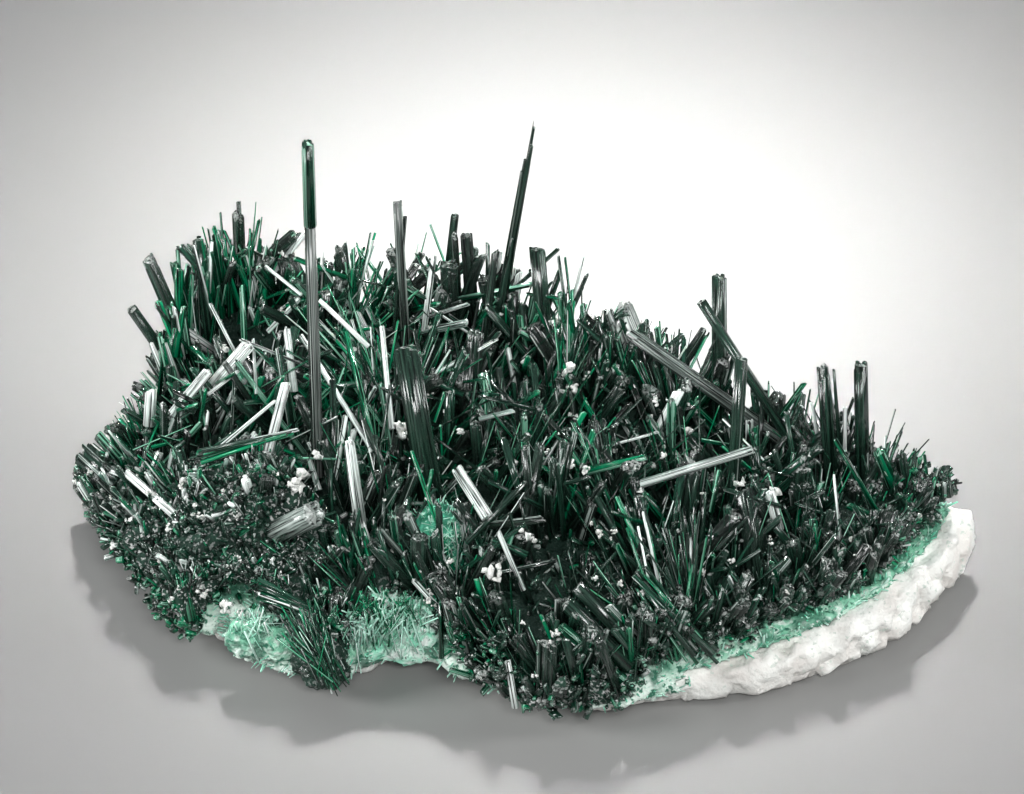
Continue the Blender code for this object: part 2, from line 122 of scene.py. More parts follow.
def depth_in(zone, x, y):
    """1 in the middle of a zone and 0 at its edge and outside it."""
    return np.clip(1 - np.hypot((x - zone.x) / zone.reach_x, (y - zone.y) / zone.reach_y), 0, 1)


def fineness(x, y):
    """1 where the druse is fine-grained, and falling to 0 around that zone."""
    return np.clip(2.5 * depth_in(FINE_GRAINED, x, y), 0, 1)


class Relief(NamedTuple):
    """The druse's height fields, and the place of their first point."""

    corner: np.ndarray
    tips: np.ndarray
    body: np.ndarray
    under: np.ndarray
    inside: np.ndarray  # how far inside the outline, and below 0 outside it


def tree_of(obj):
    mesh = obj.data
    return BVHTree.FromPolygons([v.co / MM for v in mesh.vertices], [p.vertices for p in mesh.polygons])


def look_along(tree, xs, ys, start, step):
    """The heights that vertical rays from the start height meet, or nan."""
    heights = np.full((len(xs), len(ys)), np.nan)
    for i, x in enumerate(xs):
        for j, y in enumerate(ys):
            hit = tree.ray_cast(Vector((x, y, start)), Vector((0, 0, step)))[0]
            if hit is not None:
                heights[i, j] = hit.z
    return heights


def disc(radius):
    reach = int(radius / GRID)
    cells = range(-reach, reach + 1)
    return [(i, j) for i in cells for j in cells if (i * i + j * j) * GRID * GRID <= radius * radius]


def gathered(field, radius, how):
    """A field where each point takes the how (such as np.nanmax) of its surroundings."""
    shifts = disc(radius)
    pad = int(radius / GRID)
    wide = np.pad(field, pad, constant_values=np.nan)
    rows, columns = field.shape
    near = [wide[pad + i:pad + i + rows, pad + j:pad + j + columns] for i, j in shifts]
    with warnings.catch_warnings():
        # Points with nothing around them stay empty, which numpy would warn of
        warnings.simplefilter("ignore", RuntimeWarning)
        return how(np.stack(near), axis=0)


def read_relief(obj):
    """The druse's height fields, read from its solid."""
    low, high = (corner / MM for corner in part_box(obj.name))
    xs = np.arange(low.x - FIELD_MARGIN, high.x + FIELD_MARGIN, GRID)
    ys = np.arange(low.y - FIELD_MARGIN, high.y + FIELD_MARGIN, GRID)
    tree = tree_of(obj)
    top = look_along(tree, xs, ys, high.z + CLEAR, -1)
    under = look_along(tree, xs, ys, -CLEAR, 1)
    tips = gathered(spread_out(gathered(top, TIP_REACH, np.nanmax)), FIELD_BLUR, np.nanmean)
    under = gathered(spread_out(under), FIELD_BLUR, np.nanmean)
    low = gathered(spread_out(gathered(top, BODY_REACH, np.nanmin)), BODY_BLUR, np.nanmean)
    inside = distance_inside(~np.isnan(top))
    fused = MOST_FUSED + (RIM_FUSED - MOST_FUSED) * np.clip((RIM_INNER - inside) / RIM_BLEND, 0, 1)
    fine = fineness(xs[:, None], ys[None, :])
    body = np.minimum(low, under + fused * (tips - under)) * (1 - fine)
    body += (under + FINE_FUSED * (tips - under)) * fine
    return Relief(np.array((xs[0], ys[0])), tips, body, under, inside)


def spread_out(field):
    """The field with its empty points filled from the points next to them, ring by ring."""
    while np.isnan(field).any():
        field = np.where(np.isnan(field), gathered(field, GRID * 1.5, np.nanmean), field)
    return field


def distance_inside(held):
    """How far each point is from the outline, worked out by wearing the outline away step by step."""
    farthest = 30
    distance = np.zeros(held.shape)
    for sign, mask in ((1, held.copy()), (-1, ~held)):
        while mask.any() and abs(distance).max() < farthest:
            distance += sign * GRID * mask
            shrunk = mask.copy()
            for axis in (0, 1):
                for shift in (-1, 1):
                    shrunk &= np.roll(mask, shift, axis)
            if (shrunk == mask).all():
                break
            mask = shrunk
    return distance


def at(field, x, y):
    """A field's values at places between its points, or at its border for places outside it."""
    i = (x - DRUSE.corner[0]) / GRID
    j = (y - DRUSE.corner[1]) / GRID
    i = np.clip(i, 0, field.shape[0] - 1.001)
    j = np.clip(j, 0, field.shape[1] - 1.001)
    i0, j0 = i.astype(int), j.astype(int)
    s, t = i - i0, j - j0
    low = field[i0, j0] * (1 - t) + field[i0, j0 + 1] * t
    high = field[i0 + 1, j0] * (1 - t) + field[i0 + 1, j0 + 1] * t
    return low * (1 - s) + high * s


def look_down(tree, xs, ys):
    """The heights where a surface is met from above at each place, or nan."""
    above = 50
    hits = [tree.ray_cast(Vector((x, y, above)), Vector((0, 0, -1)))[0] for x, y in zip(xs, ys)]
    return np.array([np.nan if hit is None else hit.z for hit in hits])


DRUSE = read_relief(NODES["crystal_druse"])
CRUST_TREE = tree_of(NODES["green_crust"])


def outward(x, y):
    """The horizontal direction to the nearest edge, as two columns."""
    step = 2.5  # over which the distance to the edge is compared
    gx = at(DRUSE.inside, x + step, y) - at(DRUSE.inside, x - step, y)
    gy = at(DRUSE.inside, x, y + step) - at(DRUSE.inside, x, y - step)
    length = np.hypot(gx, gy) + 1e-6
    return -gx / length, -gy / length


def waves(x, y, size):
    """Smooth noise from about -1 to 1, over places seen from above."""
    return np.array([noise.noise(Vector((a / size, b / size, 0.5))) for a, b in zip(x, y)])


# Crystals as columns of numbers


class Crystals(NamedTuple):
    """One row for each crystal."""

    foot: np.ndarray
    tip: np.ndarray
    width: np.ndarray
    thick: np.ndarray
    roll: np.ndarray
    narrowing: np.ndarray  # the head's width over the foot's
    slope: np.ndarray  # how steeply the head slants
    peak: np.ndarray  # how far its middle stands up, in widths
    tone: np.ndarray  # from its look's dark colour (0) to the bright one (1)


SLOPES = (0.0, 0.8)
PEAKS = (0.0, 0.5)


def crystals(rng, foot, tip, width, flat=(0.5, 0.95), narrowing=(0.75, 1.0), tone=(0.0, 1.0)):
    """Crystals whose other features are drawn between two ends each. flat is thickness over width."""
    count = len(foot)
    return Crystals(
        foot, tip, width, width * rng.uniform(*flat, count), rng.uniform(0, math.tau, count),
        rng.uniform(*narrowing, count), rng.uniform(*SLOPES, count), rng.uniform(*PEAKS, count),
        rng.uniform(*tone, count),
    )


def joined(groups):
    return Crystals(*(np.concatenate(columns) for columns in zip(*groups)))


def chosen(rows, mask):
    return Crystals(*(column[mask] for column in rows))


def lengths(rows):
    return np.linalg.norm(rows.tip - rows.foot, axis=1)


def axes_of(rows):
    """Each crystal's long axis and the directions of its width and its thickness."""
    along = (rows.tip - rows.foot) / lengths(rows)[:, None]
    steep = np.abs(along[:, 2]) > 0.9
    other = np.where(steep[:, None], (1.0, 0.0, 0.0), (0.0, 0.0, 1.0))
    first = np.cross(other, along)
    first /= np.linalg.norm(first, axis=1)[:, None]
    second = np.cross(along, first)
    cos, sin = np.cos(rows.roll)[:, None], np.sin(rows.roll)[:, None]
    return along, first * cos + second * sin, second * cos - first * sin


CORE_FILL = 0.94  # a striated crystal's own prism over its width, since the ridges stand out from it
LEAST_NARROWING = 0.6  # of the ridges


def strands(rng, rows, count, ridge=(0.2, 0.45), uneven=0.12):
    """Each crystal as one prism with ridges along its sides, which end at different heights.

    ridge is their width over the crystal's, and uneven is how much shorter they may be.
    """
    across, through = axes_of(rows)[1:]
    repeat = Crystals(*(np.repeat(column, count, axis=0) for column in rows))
    total = len(repeat.width)
    fill = rng.uniform(*ridge, total)
    angle = rng.uniform(0, math.tau, total)
    reach = 0.5 * (1 - fill) * rng.uniform(0.85, 1.0, total)
    cut = rng.uniform(0, uneven, total)
    # The first of each is the prism itself
    fill[::count] = CORE_FILL
    reach[::count] = 0
    cut[::count] = 0
    shift = np.repeat(across, count, axis=0) * (reach * np.cos(angle) * repeat.width)[:, None]
    shift = shift + np.repeat(through, count, axis=0) * (reach * np.sin(angle) * repeat.thick)[:, None]
    tip = repeat.foot + (repeat.tip - repeat.foot) * (1 - cut)[:, None]
    narrower = np.where(np.arange(total) % count == 0, 1.0, rng.uniform(0.8, 1.0, total))
    narrowed = np.maximum(repeat.narrowing, LEAST_NARROWING)
    narrowing = np.where(narrower < 1, narrowed, repeat.narrowing) * narrower
    width = repeat.width * fill
    tone = np.clip(repeat.tone + rng.normal(0, 0.12, total), 0, 1)
    return repeat._replace(
        foot=repeat.foot + shift, tip=tip + shift, width=width, thick=np.minimum(repeat.thick, width),
        narrowing=narrowing, tone=tone,
    )


# Meshes


def prism_template(sides):
    """A prism's faces: its walls, its head's fan and its foot.

    Returns their corners, how many corners each has, and how far round the prism each corner is.
    """
    around = np.arange(sides)
    after = (around + 1) % sides
    walls = np.stack((around, after, sides + after, sides + around), 1)
    heads = np.stack((sides + around, sides + after, np.full(sides, 2 * sides)), 1)
    foot = around[::-1]
    corners = np.concatenate((walls.ravel(), heads.ravel(), foot))
    sizes = np.concatenate((np.full(sides, 4), np.full(sides, 3), (sides,)))
    turn = np.concatenate((
        np.stack((around, around + 1, around + 1, around), 1).ravel(),
        np.stack((around, around + 1, around + 0.5), 1).ravel(), foot,
    )) / sides
    return corners, sizes, turn


def prism_points(rng, rows, sides):
    """The corners of all prisms: the foot's ring, the head's ring and the head's middle."""
    count = len(rows.width)
    along, across, through = axes_of(rows)
    length = lengths(rows)
    angle = (np.arange(sides) + rng.uniform(-0.22, 0.22, (count, sides))) * math.tau / sides
    size = rng.uniform(0.82, 1.05, (count, sides)) * 0.5
    x = np.cos(angle) * size * rows.width[:, None]
    y = np.sin(angle) * size * rows.thick[:, None]
    slant = rows.slope[:, None] * (rows.width[:, None] * 0.5 - x) + (rows.peak * rows.width)[:, None]
    ring = np.maximum(length[:, None] - slant, 0.4 * length[:, None])
    rings = []
    for height, shrink in ((0 * ring, np.ones((count, 1))), (ring, rows.narrowing[:, None])):
        place = rows.foot[:, None, :] + along[:, None, :] * height[..., None]
        place = place + across[:, None, :] * (x * shrink)[..., None]
        rings.append(place + through[:, None, :] * (y * shrink)[..., None])
    middle = rows.foot + along * (0.5 * (length + ring.mean(1)))[:, None]
    return np.concatenate(rings + [middle[:, None, :]], axis=1)


def new_object(name, data):
    obj = bpy.data.objects.new(name, data)
    bpy.context.scene.collection.objects.link(obj)
    return obj


def new_mesh(name, points, corners, sizes):
    """A mesh object from arrays: points in millimetres, and each face's corners one after another."""
    mesh = bpy.data.meshes.new(name)
    mesh.vertices.add(len(points))
    mesh.vertices.foreach_set("co", (points * MM).astype(np.float32).ravel())
    mesh.loops.add(len(corners))
    mesh.loops.foreach_set("vertex_index", corners.astype(np.int32))
    mesh.polygons.add(len(sizes))
    mesh.polygons.foreach_set("loop_start", (np.cumsum(sizes) - sizes).astype(np.int32))
    mesh.update(calc_edges=True)
    mesh.validate()
    return new_object(name, mesh)


def places_and_normals(mesh):
    places = np.array([vert.co[:] for vert in mesh.vertices]) / MM
    return places, np.array([vert.normal[:] for vert in mesh.vertices])


def add_value(mesh, name, values, domain="POINT"):
    mesh.attributes.new(name, "FLOAT", domain).data.foreach_set("value", values.astype(np.float32))


def prism_piece(rng, name, rows, look, *replaced, sides=6):
    """All these crystals as one mesh, with the values and the map that their material reads."""
    count = len(rows.width)
    points = prism_points(rng, rows, sides)
    corners, sizes, turn = prism_template(sides)
    per_crystal = points.shape[1]
    all_corners = (corners + per_crystal * np.arange(count)[:, None]).ravel()
    obj = new_mesh(name, points.reshape(-1, 3), all_corners, np.tile(sizes, count))
    mesh = obj.data
    heads = np.concatenate((np.zeros(sides), np.ones(sides), (0,)))
    # The strands of one crystal share its roll, so they are frosted alike
    frosted = np.where(rows.roll % 1 < 0.5, 1.0, 0.3) * np.clip((rows.width - 0.4) / 0.4, 0, 1)
    add_value(mesh, "head", (heads * frosted[:, None]).ravel(), "FACE")
    # A draw for each face: the highest draws pick the faces that get painted sheen
    add_value(mesh, "painted_sheen_pick", rng.uniform(0, 1, len(sizes) * count), "FACE")
    add_value(mesh, "tone", np.repeat(rows.tone, per_crystal))
    rise = np.concatenate((np.zeros(sides), np.ones(sides + 1)))
    add_value(mesh, "rise", np.tile(rise, count))
    # The map is in millimetres round and along each crystal, each one at a place of its own
    girth = 1.6 * (rows.width + rows.thick)
    across = turn * girth[:, None] + rng.uniform(0, 500, (count, 1))
    upward = rise[corners] * lengths(rows)[:, None] + rng.uniform(0, 500, (count, 1))
    layer = mesh.uv_layers.new(name="along")
    layer.data.foreach_set("uv", np.stack((across, upward), -1).astype(np.float32).ravel())
    return finish_piece(obj, look, *replaced)


def finish_piece(obj, look, *replaced):
    """Give a piece its material and tie it to the model."""
    material = LOOKS[look]
    obj.data.materials.clear()
    obj.data.materials.append(material)
    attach(obj, "root")
    if replaced:
        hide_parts(*replaced)
    return obj


# Materials. Noise scales are per metre, except on crystals, whose map is in millimetres


class Wiring:
    """Short words for making and linking a material's nodes."""

    def __init__(self, name):
        self.material = bpy.data.materials.new(name)
        self.material.use_nodes = True
        self.nodes = self.material.node_tree.nodes
        self.links = self.material.node_tree.links
        self.shader = self.nodes["Principled BSDF"]

    def feed(self, socket, source):
        if isinstance(source, bpy.types.NodeSocket):
            self.links.new(source, socket)
        else:
            socket.default_value = source

    def add(self, kind, output, inputs=(), **settings):
        """Make a node with these settings and inputs, and return one of its outputs."""
        node = self.nodes.new(kind)
        for key, value in settings.items():
            setattr(node, key, value)
        for key, source in dict(inputs).items():
            self.feed(node.inputs[key], source)
        return node.outputs[output]

    def place(self):
        return self.add("ShaderNodeTexCoord", "Object")

    def value(self, name):
        return self.add("ShaderNodeAttribute", "Fac", attribute_name=name)

    def noise(self, vector, scale, detail=3.0):
        return self.add("ShaderNodeTexNoise", "Fac", {"Vector": vector, "Scale": scale, "Detail": detail})

    def stretched(self, vector, scale):
        return self.add("ShaderNodeMapping", "Vector", {"Vector": vector, "Scale": scale})

    def spread(self, source, low, high, to_low=0.0, to_high=1.0):
        """Map the range from low to high onto another, and hold what lies outside it at its ends."""
        ends = {"From Min": low, "From Max": high, "To Min": to_low, "To Max": to_high}
        return self.add("ShaderNodeMapRange", "Result", {"Value": source, **ends})

    def times(self, first, second):
        return self.add("ShaderNodeMath", 0, {0: first, 1: second}, operation="MULTIPLY")

    def plus(self, first, second):
        return self.add("ShaderNodeMath", 0, {0: first, 1: second}, operation="ADD")

    def mix(self, share, first, second, how="MIX"):
        inputs = {"Factor": share, "A": first, "B": second}
        return self.add("ShaderNodeMix", "Result", inputs, data_type="RGBA", blend_type=how)

    def grey(self, value):
        return self.add("ShaderNodeCombineColor", "Color", dict.fromkeys(("Red", "Green", "Blue"), value))

    def bump(self, height, distance, strength):
        inputs = {"Height": height, "Distance": distance * MM, "Strength": strength}
        self.feed(self.shader.inputs["Normal"], self.add("ShaderNodeBump", "Normal", inputs))

    def finish(self, colour, roughness, **plain):
        self.feed(self.shader.inputs["Base Color"], colour)
        self.feed(self.shader.inputs["Roughness"], roughness)
        # The shader's own names are in capitals, such as Coat Weight for coat_weight
        for key, value in plain.items():
            self.shader.inputs[key.replace("_", " ").title().replace("Ior", "IOR")].default_value = value
        return self.material


def colour(red, green, blue):
    return (red, green, blue, 1.0)


# How often stripes and fine lines change in a millimetre, across and along a crystal
STRIPES = (4.0, 0.12, 1.0)
LINES = (9.0, 0.06, 1.0)
FROST = colour(0.78, 0.81, 0.78)


class PaintedSheen(NamedTuple):
    """Painted sheen: silvery streaks of painted reflection on some of a crystal's faces."""

    colour: tuple
    faces: float  # the share of the faces that have them


def crystal_look(name, dark, bright, clear, gloss, painted_sheen, frost=0.5, contrast=0.8):
    """Glassy crystal, striped lengthwise, from dark to bright by its tone, with a frosted head and painted
    sheen.
    """
    wiring = Wiring(name)
    uv = wiring.add("ShaderNodeUVMap", "UV", uv_map="along")
    stripes = wiring.noise(wiring.stretched(uv, STRIPES), 1.0, 3.0)
    lines = wiring.noise(wiring.stretched(uv, LINES), 1.0, 1.0)
    tint = wiring.mix(wiring.value("tone"), dark, bright)
    shade = wiring.spread(stripes, 0.40, 0.60, 1 - contrast, 1 + contrast)
    striped = wiring.mix(1.0, tint, wiring.grey(shade), "MULTIPLY")
    # Painted reflection: the faces picked by their draw get the sheen's colour in streaks
    painted_sheen_faces = wiring.spread(wiring.value("painted_sheen_pick"), 1 - painted_sheen.faces, 1 - 0.6 * painted_sheen.faces, 0.0, 1.0)
    painted_sheen_streaks = wiring.spread(lines, 0.42, 0.56, 0.1, 1.0)
    with_painted_sheen = wiring.mix(wiring.times(painted_sheen_faces, painted_sheen_streaks), striped, painted_sheen.colour)
    speckle = wiring.noise(wiring.place(), 4000.0, 3.0)
    frosted = wiring.times(wiring.value("head"), wiring.spread(speckle, 0.42, 0.56, 0.0, frost))
    coated = wiring.mix(frosted, with_painted_sheen, FROST)
    wiring.bump(lines, 0.05, 0.7)
    rough = wiring.spread(stripes, 0.35, 0.7, gloss, gloss + 0.15)
    return wiring.finish(
        coated, rough, ior=1.6, transmission_weight=clear, coat_weight=0.25, specular_ior_level=0.3,
    )


def grainy_look(name, main, other, speck, patch_scale, grain_scale, roughness, relief, rare=0.58,
                where=""):
    """Fine-grained material: patches of two colours with specks of a third, the rarer the higher rare is.

    where names an attribute of the mesh, and where that is 0 the material is all main.
    """
    wiring = Wiring(name)
    place = wiring.place()
    patches = wiring.spread(wiring.noise(place, patch_scale, 4.0), 0.42, 0.62)
    specks = wiring.spread(wiring.noise(place, 0.6 * grain_scale, 3.0), rare, rare + 0.05)
    density = wiring.spread(wiring.noise(place, 0.35 * patch_scale), 0.42, 0.58, 0.35, 1.0)
    specks = wiring.times(specks, density)
    if where:
        patches, specks = (wiring.times(share, wiring.value(where)) for share in (patches, specks))
    wiring.bump(wiring.noise(place, grain_scale, 4.0), relief, 0.8)
    tint = wiring.mix(specks, wiring.mix(patches, main, other), speck)
    return wiring.finish(tint, roughness, specular_ior_level=0.3)


def crust_look(pale, main, deep, speck):
    """Crust: pale below, deep green above, with the levels blurred by noise, and dark specks."""
    wiring = Wiring("crust_look")
    place = wiring.place()
    height = wiring.times(wiring.add("ShaderNodeSeparateXYZ", "Z", {0: place}), 1 / MM)
    level = wiring.plus(height, wiring.times(wiring.noise(place, 450, 4.0), 8.0))
    low = wiring.mix(wiring.spread(level, 6.8, 9.4), pale, main)
    mottled = wiring.mix(wiring.spread(wiring.noise(place, 1100, 4.0), 0.52, 0.62, 0.0, 0.8), low, pale)
    tint = wiring.mix(wiring.spread(level, 10.2, 13.2), mottled, deep)
    specks = wiring.spread(wiring.noise(place, 1700, 4.0), 0.55, 0.62)
    blotches = wiring.spread(wiring.noise(place, 420, 4.0), 0.50, 0.60, 0.0, 0.85)
    wiring.bump(wiring.noise(place, 2600, 4.0), 0.3, 0.8)
    return wiring.finish(wiring.mix(blotches, wiring.mix(specks, tint, speck), speck), 0.6)


LOOKS = {
    "rock": grainy_look(
        "white_rock_look", colour(0.90, 0.91, 0.87), colour(0.76, 0.73, 0.69), colour(0.60, 0.66, 0.60),
        patch_scale=240, grain_scale=2600, roughness=0.7, relief=0.2, rare=0.62,
    ),
    "crust": crust_look(
        pale=colour(0.80, 0.92, 0.84), main=colour(0.24, 0.58, 0.40), deep=colour(0.01, 0.26, 0.14),
        speck=colour(0.03, 0.16, 0.10),
    ),
    "druzy": grainy_look(
        "druzy_look", colour(0.32, 0.80, 0.58), colour(0.86, 0.94, 0.89), colour(0.02, 0.20, 0.12),
        patch_scale=900, grain_scale=4000, roughness=0.4, relief=0.1,
    ),
    "pocket": grainy_look(
        "pocket_look", colour(0.01, 0.16, 0.09), colour(0.08, 0.42, 0.27), colour(0.55, 0.84, 0.72),
        patch_scale=900, grain_scale=4000, roughness=0.4, relief=0.1,
    ),
    "fused": grainy_look(
        "fused_look", colour(0.008, 0.026, 0.018), colour(0.022, 0.070, 0.046), colour(0.66, 0.68, 0.66),
        patch_scale=700, grain_scale=4800, roughness=0.55, relief=0.4, rare=0.55, where="fine",
    ),
    "crumb": grainy_look(
        "crumb_look", colour(0.88, 0.89, 0.86), colour(0.70, 0.70, 0.66), colour(0.30, 0.36, 0.32),
        patch_scale=800, grain_scale=4000, roughness=0.6, relief=0.3, rare=0.54,
    ),
    # Each crystal look's PaintedSheen is painted reflection: its colour streaks a share of the faces
    "dark": crystal_look(
        "dark_look", colour(0.018, 0.027, 0.022), colour(0.014, 0.066, 0.040),
        clear=0.3, gloss=0.08, painted_sheen=PaintedSheen(colour(0.50, 0.58, 0.54), 0.05),
    ),
    "grey": crystal_look(
        "grey_look", colour(0.008, 0.016, 0.012), colour(0.20, 0.24, 0.22),
        clear=0.0, gloss=0.14, painted_sheen=PaintedSheen(colour(0.55, 0.60, 0.57), 0.3), frost=0.8, contrast=0.95,
    ),
    "green": crystal_look(
        "green_look", colour(0.001, 0.03, 0.015), colour(0.004, 0.26, 0.115),
        clear=0.45, gloss=0.08, painted_sheen=PaintedSheen(colour(0.42, 0.86, 0.64), 0.26), frost=0.3, contrast=0.95,
    ),
    # The pale look is painted reflection: crystals painted pale as if their faces mirrored the lights
    "pale": crystal_look(
        "pale_painted_reflection_look", colour(0.05, 0.12, 0.09), colour(0.72, 0.80, 0.76),
        clear=0.1, gloss=0.12, painted_sheen=PaintedSheen(colour(0.90, 0.93, 0.91), 0.5), frost=0.8, contrast=0.95,
    ),
    "fibre": crystal_look(
        "fibre_look", colour(0.08, 0.58, 0.36), colour(0.66, 0.94, 0.82),
        clear=0.1, gloss=0.3, painted_sheen=PaintedSheen(colour(0.85, 0.95, 0.90), 0.2), frost=0.2, contrast=0.4,
    ),
}


# Growth


class Habit(NamedTuple):
    """One habit of the druse's crystals, which stand in small groups."""

    groups: int
    in_group: int
    group_size: float
    lean: float  # how differently the groups lean
    fan: float  # how far the crystals of a group spread out
    scatter: float  # how differently the crystals of a group lean
    at_side: int  # how many more grow from the druse's side
    width: tuple
    height: tuple  # the tip's height, from the body (0) to the tips' field (1)
    slack: float  # how far a tip may pass the field
    shy: float  # how many of them keep out of the fine-grained zone


def random_places(rng, count, nearest=0.8, farthest=99.0):
    """Places inside the outline, between these distances from it, as x and y."""
    kept = np.empty((0, 2))
    size = np.array(DRUSE.tips.shape) * GRID
    while len(kept) < count:
        tried = DRUSE.corner + rng.uniform(0, 1, (count * 2, 2)) * size
        inside = at(DRUSE.inside, tried[:, 0], tried[:, 1])
        kept = np.concatenate((kept, tried[(inside > nearest) & (inside < farthest)]))
    return kept[:count]


def unit(rows):
    return rows / np.linalg.norm(rows, axis=1)[:, None]


LEANING_WIDTH = 11.0  # how far from the edge crystals begin to lean outwards
LEAN_ANYWHERE = 0.2  # how much they do at the edge, and how much more at the left and the front
LEAN_LEFT = 0.6
LEAN_FRONT = 0.15


def lean_outward(places):
    """The mean growing direction: straight up in the middle, and outwards towards the edge."""
    x, y = places.T
    out_x, out_y = outward(x, y)
    near_edge = np.clip(1 - at(DRUSE.inside, x, y) / LEANING_WIDTH, 0, 1) ** 1.5
    side = np.clip(-out_x, 0, 1) * LEAN_LEFT + np.clip(-out_y, 0, 1) * LEAN_FRONT + LEAN_ANYWHERE
    lean = near_edge * side
    return np.stack((out_x * lean, out_y * lean, np.ones(len(x))), 1)


def crowded_out(rng, places, shy):
    """Which places are left empty: those where the crust shows, and a share of the fine-grained zone."""
    x, y = places.T
    bare = [np.clip(3 * depth_in(zone, x, y), 0, 1) for zone in BARE]
    return rng.uniform(0, 1, len(x)) < np.maximum.reduce([*bare, shy * fineness(x, y)])


def local_height(x, y):
    """What share of the tips' height is reached: less in the hollows, and all of it near the edge."""
    hollow = np.clip(0.05 + 1.1 * waves(x, y, HOLLOW_SIZE), 0, DEEPEST_HOLLOW)
    from_edge = np.clip(at(DRUSE.inside, x, y) / 4.0 - 0.2, 0, 1)
    return (1 - hollow * from_edge) * (1 - 0.25 * depth_in(FINE_GRAINED, x, y) * from_edge)


def in_box(x, y):
    """Whether places are inside the whole model's outline, seen from above."""
    low, high = (np.array(corner) / MM for corner in CAD_BOUNDS)
    low, high = low + BOX_MARGIN, high - BOX_MARGIN
    return (x > low[0]) & (x < high[0]) & (y > low[1]) & (y < high[1])


def cut_to_field(foot, tip, slack):
    """Shorten each crystal until its tip is under the tips' field and not far outside the outline."""
    shortest, steps = 0.25, 16  # of its length, and how many lengths are tried
    best = np.full(len(foot), shortest)
    for share in np.linspace(shortest, 1.0, steps):
        x, y, z = (foot + (tip - foot) * share).T
        fits = (z < at(DRUSE.tips, x, y) + slack) & (z > at(DRUSE.under, x, y) - 0.3) & (z > LOWEST)
        fits &= (at(DRUSE.inside, x, y) > -OVERHANG) & in_box(x, y)
        best = np.where(fits, share, best)
    return foot + (tip - foot) * best[:, None]


def grow_upwards(rng, habit):
    """Feet and tips of crystals that stand in groups on the fused body."""
    at_rim = round(RIM_SHARE * habit.groups)
    anywhere = random_places(rng, habit.groups - at_rim)
    centres = np.concatenate((anywhere, random_places(rng, at_rim, 0.4, 3.0)))
    leaning = lean_outward(centres)
    leaning[:, :2] += rng.normal(0, habit.lean, (habit.groups, 2))
    centres = np.repeat(centres, habit.in_group, axis=0)
    shift = rng.normal(0, 1, centres.shape)
    direction = np.repeat(leaning, habit.in_group, axis=0)
    direction[:, :2] += shift * habit.fan + rng.normal(0, habit.scatter, centres.shape)
    places = centres + shift * habit.group_size
    kept = (at(DRUSE.inside, *places.T) > 0.5) & ~crowded_out(rng, places, habit.shy)
    places, direction = places[kept], unit(direction[kept])
    x, y = places.T
    body = at(DRUSE.body, x, y)
    rooted = body - rng.uniform(*ROOT_DEPTH, len(x))
    foot = np.stack((x, y, np.maximum(rooted, at(DRUSE.under, x, y) + 0.5)), 1)
    low, high = habit.height
    from_edge = np.clip(at(DRUSE.inside, x, y) / 5.0, 0.15, 1)
    lowered = (high - low) * rng.uniform(0, 1, len(x)) ** 1.2 * from_edge
    share = (high - lowered) * local_height(x, y)
    rise = body + (at(DRUSE.tips, x, y) - body) * share - foot[:, 2]
    length = np.clip(rise / np.maximum(direction[:, 2], 0.45), *LENGTHS)
    return foot, cut_to_field(foot, foot + direction * length[:, None], habit.slack)


def grow_sideways(rng, habit):
    """Feet and tips of crystals that come out of the druse's side."""
    places = random_places(rng, habit.at_side, 0.8, 3.5)
    places = places[~crowded_out(rng, places, habit.shy)]
    x, y = places.T
    out_x, out_y = outward(x, y)
    low, high = at(DRUSE.under, x, y), at(DRUSE.body, x, y)
    z = low + 0.6 + rng.uniform(0, 1, len(x)) * np.maximum(high - low - 0.8, 0.2)
    steep = rng.uniform(-0.1, 1.0, len(x)) + 0.7 * np.clip(-out_y, 0, 1)
    direction = np.stack((out_x, out_y, steep), 1)
    direction[:, :2] += rng.normal(0, 0.4, (len(x), 2))
    direction = unit(direction)
    foot = np.stack((x, y, z), 1) - direction * 0.8
    length = rng.uniform(3.0, 8.0, len(x))
    return foot, cut_to_field(foot, foot + direction * length[:, None], 0.2)


def grow_across(rng):
    """Feet and tips of crystals that lie across the others, under their tips: more at the back left."""
    places = random_places(rng, ACROSS_TRIES, 3.0)
    places = places[~crowded_out(rng, places, 0.8)]
    liked = (places[:, 0] < -4) & (places[:, 1] > -4)
    x, y = places[rng.uniform(0, 1, len(places)) < np.where(liked, 0.9, 0.3)].T
    count = len(x)
    turn, tilt = rng.uniform(0, math.tau, count), rng.uniform(0.25, 0.9, count)
    direction = unit(np.stack((np.cos(turn), 0.7 * np.sin(turn), tilt), 1))
    body = at(DRUSE.body, x, y)
    z = body + (at(DRUSE.tips, x, y) - body) * local_height(x, y) * rng.uniform(0.35, 0.85, count)
    foot = np.stack((x, y, z), 1) - direction * 1.5
    length = rng.uniform(3.0, 8.0, count)
    return foot, cut_to_field(foot, foot + direction * length[:, None], 0.3)


RIM_SHARE = 0.42  # of the groups that stand close to the druse's edge
ROOT_DEPTH = (0.4, 1.4)  # how deep crystals stand in the fused body
LENGTHS = (0.8, 18.0)  # of a crystal that stands on it
ACROSS_TRIES = 380  # how many places are tried for crystals that lie across the others
HOLLOW_SIZE = 5.0  # of the hollows between higher crystals
DEEPEST_HOLLOW = 0.62  # of the tips' height
FLAT = (0.35, 0.8)  # thickness over width
HUGE = Habit(
    groups=230, in_group=1, group_size=0.0, lean=0.28, fan=0.0, scatter=0.2, at_side=20,
    width=(1.3, 2.4), height=(0.6, 1.05), slack=0.4, shy=0.7,
)
LARGE = Habit(
    groups=270, in_group=2, group_size=1.4, lean=0.34, fan=0.12, scatter=0.24, at_side=110,
    width=(0.75, 1.4), height=(0.6, 1.08), slack=0.8, shy=0.6,
)
MIDDLE = Habit(
    groups=180, in_group=4, group_size=1.3, lean=0.42, fan=0.14, scatter=0.20, at_side=260,
    width=(0.36, 0.8), height=(0.5, 1.12), slack=0.8, shy=0.3,
)
